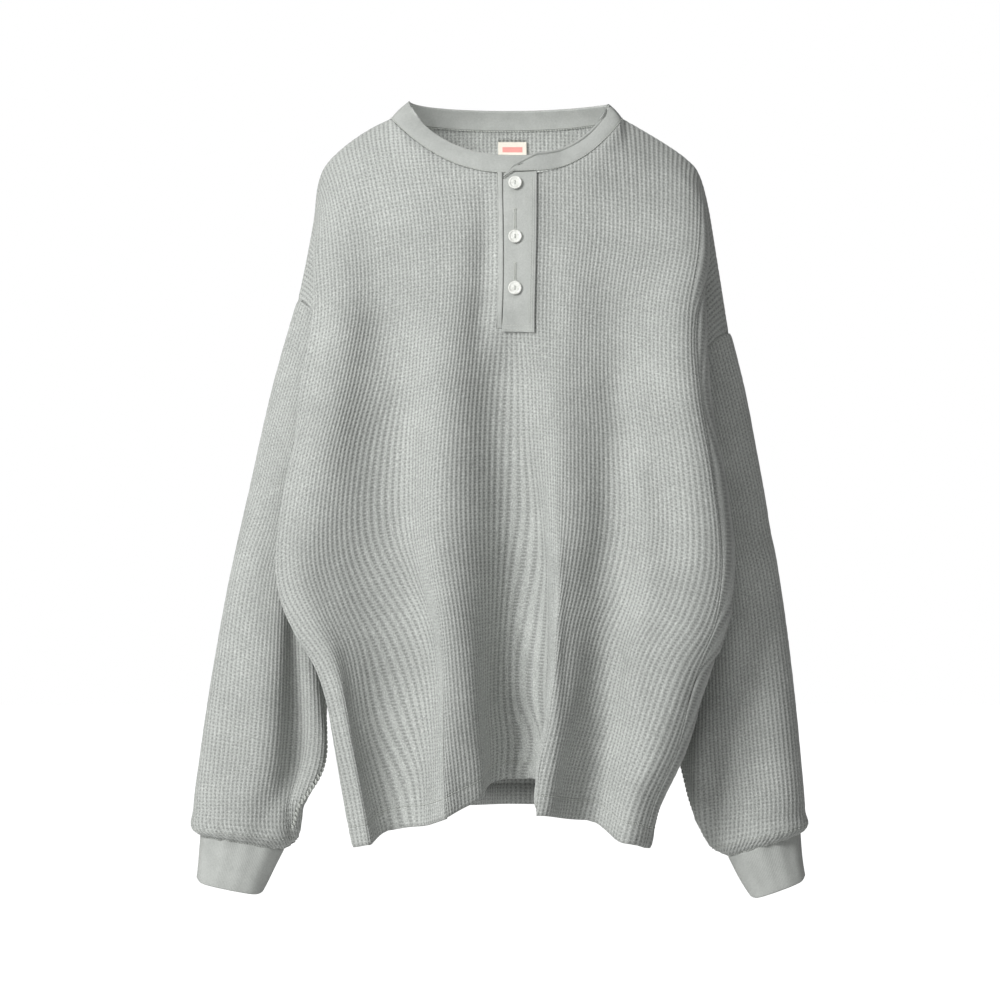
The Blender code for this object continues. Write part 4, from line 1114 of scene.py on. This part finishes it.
cuff_sewing = Cloth()
for outer, faces, inseam in sleeves.values():
    for row in CUFF_STITCH_ROWS:
        moved = np.linalg.norm(np.diff(outer[row], axis=0), axis=1) > 1e-5
        kept = np.concatenate((moved, [True]))
        ring, ring_faces = outer[row][kept], faces[row][kept]
        stitched = spaced(ring - ring_faces * STITCH_SUNK, ring_faces, STITCH_PITCH)
        lay_stitches(cuff_sewing, *stitched, CUFF_STITCH, CUFF_THREAD)
cuff_sewing = cuff_sewing.make("cuff_sewing", THREAD_FINISH)

# ------------------------------------------------------------------------------------------------
# Neckband. A band of plain jersey, folded along its upper edge and sewn to the neckline. Its right
# end lies over its left end and narrows to nothing where it meets the placket's corner.
# ------------------------------------------------------------------------------------------------

NECKBAND_WIDTH = 0.022
BAND = 0.0026
OVERLAP_LEFT = -0.0115
CORNER_DROP = 0.008
CORNER_WIDTH = 0.010
BAND_CORNER_LEFT = (0.0, 0.0, 0.0045)
BAND_CORNER_RIGHT = (0.0045, 0.0, 0.001)
BAND_FURROW = 0.0032
BAND_PIPE = 0.00135
NECK_STITCH = 0.0025
INSIDE_THREAD = 0.00050
BAND_TOP_ROWS = (
    0.0052, 0.0044, 0.0038, 0.0035, 0.0032, 0.0029, 0.0026,
    0.0022, 0.0017, 0.0012, 0.0008, 0.0005, 0.0002, 0.0,
)
BAND_IN_SIDE = 0.018
BAND_IN_FRONT = 0.012
BAND_BULGE = 0.0012
BAND_OVERLAP_LIFT = 0.0036
BAND_LIFT_END = 0.048
BAND_LIFT_RUN = 0.030
BAND_TAPER = 0.90
BAND_TAPER_START = 0.024


def neckline(places, cloth, drops):
    """Points of the neckline seam and the directions the cloth faces there."""
    sections, folds, _, facing = cloth
    order = np.argsort(places)
    strip = Panel(sections, folds, (), facing, np.array(places)[order])
    points, normals = strip.surface((strip.top_heights + np.asarray(drops)[order])[None])
    back_to = np.argsort(order)
    return points[0][back_to], normals[0][back_to]


neck_end = NECK_HALF - 0.0005
front_left = np.linspace(SLIT_RIGHT, -neck_end, 90)
behind_neck = np.linspace(-neck_end, neck_end, 121)
front_right = np.linspace(neck_end, OVERLAP_LEFT, 84)
path = []
corner_drops = CORNER_DROP * np.clip(1 - (front_right - OVERLAP_LEFT) / CORNER_WIDTH, 0, 1)
for places, cloth, drops in (
    (front_left, FRONT_CLOTH, 0 * front_left),
    (behind_neck, BACK_CLOTH, 0 * behind_neck),
    (front_right, FRONT_CLOTH, corner_drops),
):
    points, normals = neckline(places, cloth, drops)
    path += [(u, cloth[3], point, normal) for u, point, normal in zip(places, points, normals)]
shared = (len(front_left), len(front_left) + len(behind_neck))
path = [item for k, item in enumerate(path) if k not in shared]
over_start = len(path) - len(front_right) + 1
half_neck = (SHOULDER_RIGHT[0][0] - SHOULDER_LEFT[0][0]) / 2
corner_normal = next(item[3] for item in path[over_start:] if item[0] <= SLIT_RIGHT)
from_top = np.array(BAND_TOP_ROWS)
columns, widths, ups = [], [], []
for k, (u, facing, point, normal) in enumerate(path):
    a = u / NECK_HALF
    inward_y = -facing * math.sqrt(max(1 - a * a, 0)) / NECK_OUT[facing]
    inward = unit(np.array((-a / half_neck, inward_y, 0.0)))
    lean_in = BAND_IN_FRONT + (BAND_IN_SIDE - BAND_IN_FRONT) * abs(a) ** 3
    lean = inward * lean_in + np.array((0, 0, math.sqrt(NECKBAND_WIDTH**2 - lean_in**2)))
    lean += np.array(BAND_CORNER_LEFT if a < 0 else BAND_CORNER_RIGHT) * abs(a) ** 8
    share, narrow = 0.0, 1.0
    if k >= over_start:
        share = min(max((BAND_LIFT_END - u) / BAND_LIFT_RUN, 0.0), 1.0)
        past = (BAND_TAPER_START - u) / (BAND_TAPER_START - OVERLAP_LEFT)
        narrow = 1 - BAND_TAPER * max(past, 0.0) ** 1.15
        normal = corner_normal if u < SLIT_RIGHT else normal
    begin = point + normal * BAND_OVERLAP_LIFT * share
    width = NECKBAND_WIDTH * narrow
    top_rows = width - from_top * min(width / 0.010, 1.0)
    low_rows = edged(2 * top_rows[0], BAND / 2 * narrow, 0.0018 * narrow)[:12]
    rise = np.concatenate((low_rows, top_rows))
    t = (rise / width)[:, None]
    columns.append(begin + lean * narrow * t - inward * BAND_BULGE * np.sin(math.pi * t))
    widths.append(width)
    ups.append(rise)
grid = np.array(columns).transpose(1, 0, 2)
widths, up = np.array(widths), np.array(ups).T
normals = unit(np.cross(np.gradient(grid, axis=1), np.gradient(grid, axis=0)))
away = (grid - np.array((NECK_MIDDLE_X, 0, 0))) * np.array((1, 1, 0))
normals *= np.sign(np.sum(normals * away, axis=-1, keepdims=True))
run = distances(grid[0])
from_end = np.minimum(run, run[-1] - run)
from_edge = np.minimum(np.minimum(up, widths - up), from_end)
over = np.clip((np.arange(len(path)) - over_start - 4) / 14, 0, 1)
size = np.minimum(widths / 0.010, 1.0)
below_top = (widths - up) / size
furrow = np.exp(-(((below_top - BAND_FURROW) / 0.0006) ** 2))
pipe = np.sqrt(np.clip(1 - ((below_top - BAND_PIPE) / BAND_PIPE) ** 2, 0, 1))
edging = (0.0007 * pipe - 0.0012 * furrow) * over * size
cloth = Cloth()
lay_band(cloth, grid + normals * edging[..., None], normals, BAND, from_edge,
         run / JERSEY_WALE, up / JERSEY_COURSE)
neckband = cloth.make("neckband_jersey", JERSEY)
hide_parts("neckband")

# One line of thread holds the seam down all round outside, and one inside at the back.
neck_sewing = Cloth()
seam_path, seam_faces = grid[0], normals[0]
stitched = spaced(seam_path + seam_faces * 0.0004, seam_faces, STITCH_PITCH)
lay_stitches(neck_sewing, *stitched, NECK_STITCH, THREAD)
behind = slice(len(front_left), over_start - 1)
inside_path = grid[0][behind] - normals[0][behind] * (BAND + 0.0002)
stitched = spaced(inside_path, -normals[0][behind], STITCH_PITCH)
lay_stitches(neck_sewing, *stitched, NECK_STITCH, INSIDE_THREAD)
neck_sewing = neck_sewing.make("neck_sewing", THREAD_FINISH)

# ------------------------------------------------------------------------------------------------
# Placket. Two strips of plain jersey. The underlap fills the slit of the front and carries the
# buttons; the overlap lies on it and has the buttonholes. Both are folded double at their edges.
# ------------------------------------------------------------------------------------------------

PLACKET = 0.0016
LAYER_GAP = 0.0009
OVERLAP_RIGHT = 0.0215
OVERLAP_BOTTOM = 0.2055
EDGE_ROLL = 0.0023
ROLL_PLACES = (0.03, 0.12, 0.3, 0.6, 1.0, 1.4, 1.7, 1.88, 1.97, 2.0, 2.1)
ROLL_END = 0.012


def placket_strip(left, right, bottom, lift, corner, roll=0.0):
    """A strip over the front's cut, from the neckline to its bottom edge. Where roll is stated, its
    left edge is rolled."""
    across = left + edged(right - left, PLACKET / 2, 0.0011)
    if roll:
        across = np.unique(np.concatenate((across, left + np.array(ROLL_PLACES) * roll)))
    strip = Panel(*FRONT_CLOTH, across)
    tops = strip.top_heights + corner * np.clip(1 - (across - left) / CORNER_WIDTH, 0, 1)
    share = edged(bottom - tops.min(), PLACKET / 2, 0.0016) / (bottom - tops.min())
    heights = tops + (bottom - tops) * share[:, None]
    points, normals = strip.surface(heights)
    from_edge = np.minimum(
        np.minimum(across - left, right - across)[None],
        (bottom - tops) * np.minimum(share, 1 - share)[:, None],
    )
    lift = np.full(heights.shape, lift)
    if roll:
        flat = np.clip((bottom - heights - 0.001) / ROLL_END, 0, 1)
        lift += roll * np.clip(1 - ((across - left - roll) / roll) ** 4, 0, 1) ** 0.25 * flat
    cloth = Cloth()
    lay_band(cloth, points + normals * lift[..., None], normals, PLACKET, from_edge,
             across / JERSEY_WALE, heights / JERSEY_COURSE)
    return cloth


slit_end = ROWS[2 * round((SLIT_BOTTOM - ROWS[0]) / COURSE)] - 0.0002
underlap = placket_strip(SLIT_LEFT + 0.0003, SLIT_RIGHT - 0.0003, slit_end, 0.0, 0.0, EDGE_ROLL)
underlap = underlap.make("placket_underlap_jersey", JERSEY)
over = LAYER_GAP + PLACKET
overlap = placket_strip(OVERLAP_LEFT, OVERLAP_RIGHT, OVERLAP_BOTTOM, over, CORNER_DROP)
overlap = overlap.make("placket_overlap_jersey", JERSEY)
for strip, node, width, length in (
    (underlap, "placket_underlap", SLIT_RIGHT - SLIT_LEFT, 0.150),
    (overlap, "placket_overlap", OVERLAP_RIGHT - OVERLAP_LEFT, 0.157),
):
    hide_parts(node)

# ------------------------------------------------------------------------------------------------
# Placket sewing. Two lines of thread down the right edge and a box across the bottom hold the strips
# down. Two vertical buttonholes are worked in close stitches on both sides of a slit.
# ------------------------------------------------------------------------------------------------

PLACKET_STITCH = 0.0023
PLACKET_THREAD = 0.00030
DOWN_LINES = (0.0164, 0.0186)
BOX_LINES = (0.1995, 0.2030)
BUTTONHOLES = (
    # top, bottom
    (0.0895, 0.1090),
    (0.1410, 0.1582),
)
HOLE_HALF = 0.0014
HOLE_STITCH = 0.00068
HOLE_THREAD = 0.00036
HOLE_APART = 0.00004
HOLE_BAR = 0.0018


def on_overlap(across, heights):
    """Places on the face of the overlap, with the direction it faces."""
    across, heights = np.asarray(across, float), np.asarray(heights, float)
    columns, where = np.unique(across, return_inverse=True)
    if len(columns) < 3:
        columns = np.concatenate((columns, columns[-1] + np.array((0.001, 0.002))))
    strip = Panel(*FRONT_CLOTH, columns)
    points, normals = strip.surface(np.broadcast_to(heights[:, None], (len(heights), len(columns))))
    rows = np.arange(len(heights))
    return (points + normals * (LAYER_GAP + PLACKET))[rows, where], normals[rows, where]


sewing = Cloth()
down = np.linspace(0.060, OVERLAP_BOTTOM - 0.0030, 60)
box = np.linspace(OVERLAP_LEFT + 0.0015, OVERLAP_RIGHT - 0.0015, 40)
for across, heights in (
    *((np.full(60, line), down) for line in DOWN_LINES),
    *((box, np.full(40, height)) for height in BOX_LINES),
):
    places, faces = on_overlap(across, heights)
    lay_stitches(sewing, *spaced(places, faces, STITCH_PITCH), PLACKET_STITCH, PLACKET_THREAD)
for top, bottom in BUTTONHOLES:
    count = round((bottom - top) / HOLE_STITCH)
    for side in (-HOLE_HALF / 2 - HOLE_APART, HOLE_HALF / 2 + HOLE_APART):
        places, faces = on_overlap(np.full(count, side), np.linspace(top, bottom, count))
        run = np.tile((1.0, 0.0, 0.0), (count, 1))
        lay_stitches(sewing, places, faces, run, HOLE_HALF, HOLE_THREAD)
    for end in (top, bottom):
        places, faces = on_overlap(np.linspace(-HOLE_HALF, HOLE_HALF, 5), np.full(5, end))
        run = np.tile((0.0, 0.0, 1.0), (5, 1))
        lay_stitches(sewing, places, faces, run, HOLE_BAR, HOLE_THREAD)
sewing = sewing.make("placket_sewing", THREAD_FINISH)

# ------------------------------------------------------------------------------------------------
# Buttons. Three round two-hole buttons turned from shell, sewn to the underlap with grey thread
# through their holes. Their solids keep their shape; the thread is a piece of its own.
# ------------------------------------------------------------------------------------------------

BUTTON_HEIGHTS = (0.066, 0.116, 0.165)
BUTTON_THICK = 0.0022
BUTTON_HOLE_APART = 0.0026
THREAD_SUNK = 0.0006
BUTTON_THREAD = 0.00030
CLEAR = 0.0003

shell, shader, start = new_finish("shell_button")
body = start.node("ShaderNodeTexCoord", None, None, 3)
layers = start.noise(body, 260.0, 3.0, 0.6)
cloud = start.noise(body, 900.0, 2.0)
tone = (layers * 0.8 + cloud * 0.3).between(0.35, 0.75)
feed(shader, {
    "Base Color": tone.mix((0.58, 0.59, 0.55, 1), (0.80, 0.81, 0.77, 1)),
    "Roughness": 0.22 + cloud * 0.16,
    "Coat Weight": 0.25, "Coat Roughness": 0.15,
})
for number in (1, 2, 3):
    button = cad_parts[f"button_{number}"]
    for part in button.material_slots:
        part.material = shell

thread = Cloth()
for height in BUTTON_HEIGHTS:
    across = BUTTON_LINE - CENTRE_TOP[-1]
    patch = Panel(*FRONT_CLOTH, (across - 0.004, across, across + 0.004))
    points, normals = patch.surface(np.full((1, 3), height))
    normal = normals[0, 1]
    turn = Vector(normal).to_track_quat("Z", "Y").to_matrix()
    top = points[0, 1] + normal * (LAYER_GAP + PLACKET + 2 * CLEAR + BUTTON_THICK - THREAD_SUNK)
    places = np.array([top + np.array(turn.col[0]) * side for side in (-THREAD, 0.0, THREAD)])
    run = np.tile(np.array(turn.col[1]), (3, 1))
    stitch = BUTTON_HOLE_APART + 0.0008
    lay_stitches(thread, places, np.tile(normal, (3, 1)), run, stitch, BUTTON_THREAD)
thread = thread.make("button_thread", THREAD_FINISH)

# ------------------------------------------------------------------------------------------------
# Neck label. A small woven label of cream tape with a plain coral band, sewn to the inside of the
# back under the neckband by its upper edge.
# ------------------------------------------------------------------------------------------------

LABEL = 0.0012
LABEL_WIDTH = 0.029
LABEL_ACROSS = 0.006
LABEL_TOP = 0.016
LABEL_HEIGHT = 0.026
LABEL_THREAD = 0.0005
LABEL_PITCH = 0.0022
LABEL_STITCH = 0.0019
LABEL_FILAMENT = 0.00026


def label_look(start, across, down, body):
    """Fine woven tape: cream, with one soft-edged coral band across its upper part."""
    weave = 0.5 + 0.25 * (across * math.tau).cosine() + 0.25 * (down * math.tau).cosine()
    fleck = start.noise(body, 1400.0, 2.0)
    cream = (fleck * 0.6 + weave * 0.4).mix((0.66, 0.61, 0.53, 1), (0.82, 0.78, 0.70, 1))
    down, across = down * LABEL_THREAD, across * LABEL_THREAD
    band = (down - 0.0050).between(0.0, 0.0006) * (1 - (down - 0.0105).between(0.0, 0.0006))
    edge = (across + 0.0105).between(0.0, 0.0006) * (1 - (across - 0.0099).between(0.0, 0.0006))
    colour = (band * edge * 0.85).mix(cream, (0.72, 0.24, 0.22, 1))
    return colour, (fleck - 0.5) * 0.1, weave


WOVEN = cloth_material("woven_label", label_look, 0.78, 0.10, 0.00006)
across = -LABEL_WIDTH / 2 + edged(LABEL_WIDTH, LABEL / 2, 0.0012)
strip = Panel(*BACK_CLOTH, across + LABEL_ACROSS)
down = edged(LABEL_HEIGHT, LABEL / 2, 0.0012)
heights = (LABEL_TOP + down)[:, None]
points, normals = strip.surface(np.broadcast_to(heights, (len(down), len(across))))
outer = points - normals * (KNIT + 5 * CLEAR)
from_edge = np.minimum(
    np.minimum(across + LABEL_WIDTH / 2, LABEL_WIDTH / 2 - across)[None],
    np.minimum(down, LABEL_HEIGHT - down)[:, None],
)
cloth = Cloth()
lay_band(cloth, outer, normals, LABEL, from_edge,
         across / LABEL_THREAD, down[:, None] / LABEL_THREAD)
label = cloth.make("neck_label_tape", WOVEN)
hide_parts("neck_label")
label_sewing = Cloth()
row = int(np.argmin(np.abs(down - 0.0018)))
stitched = spaced(outer[row] - normals[row] * STITCH_SUNK, -normals[row], LABEL_PITCH)
lay_stitches(label_sewing, *stitched, LABEL_STITCH, LABEL_FILAMENT)
label_sewing = label_sewing.make("label_sewing", THREAD_FINISH)

# ------------------------------------------------------------------------------------------------
# Studio. A pale floor below the hanging garment, one soft light from the viewer's left, a weak one
# from the front and a very weak one inside the neck, in an even white surround.
# ------------------------------------------------------------------------------------------------

FLOOR_LEVEL = -1.15
FLOOR_HALF = 12.0
MIDDLE_HEIGHT = -0.36575
SURROUND = 0.13

scene = bpy.context.scene
floor_mesh = bpy.data.meshes.new("floor")
floor_signs = ((-1, -1), (1, -1), (1, 1), (-1, 1))
corners = [(x * FLOOR_HALF, y * FLOOR_HALF, FLOOR_LEVEL) for x, y in floor_signs]
floor_mesh.from_pydata(corners, [], [(0, 1, 2, 3)])
floor = bpy.data.objects.new("floor", floor_mesh)
scene.collection.objects.link(floor)
paper, shader, start = new_finish("white_paper")
glow = start.node("ShaderNodeLightPath").mix((0.08, 0.08, 0.08, 1), (1, 1, 1, 1))
feed(shader, {
    "Base Color": (0.85, 0.85, 0.85, 1), "Roughness": 0.9,
    "Emission Strength": 1.0, "Emission Color": glow,
})
floor_mesh.materials.append(paper)

world = bpy.data.worlds.new("white_surround")
scene.world = world
world.use_nodes = True
seen = Socket(world.node_tree).node("ShaderNodeLightPath")
feed(world.node_tree.nodes["Background"], {
    "Color": (1.0, 1.0, 1.0, 1), "Strength": seen * (1 - SURROUND) + SURROUND,
})

for name, place, size, power in (
    ("key_light", (-2.22, -2.40, 1.20), 1.2, 137.0),
    ("top_light", (0.3, -1.7, 2.2), 1.4, 22.0),
    ("inner_light", (-0.01, 0.0, -0.15), 0.05, 0.16),
):
    lamp = bpy.data.lights.new(name, "AREA")
    lamp.size = size
    lamp.energy = power
    light = bpy.data.objects.new(name, lamp)
    light.location = place
    aim = Vector((0, 0, MIDDLE_HEIGHT)) if power > 1 else Vector((-0.01, 0.06, 0.0))
    light.rotation_euler = (aim - Vector(place)).to_track_quat("-Z", "Y").to_euler()
    light.visible_camera = power > 1
    scene.collection.objects.link(light)

lens = bpy.data.cameras.new("camera")
lens.sensor_width = 36.0
lens.lens = 36.0 * 4.0 / 0.95
camera = bpy.data.objects.new("camera", lens)
camera.location = (-0.0114, -4.06, MIDDLE_HEIGHT)
camera.rotation_euler = (math.pi / 2, 0, 0)
scene.collection.objects.link(camera)
scene.camera = camera
scene.view_settings.view_transform = "Standard"
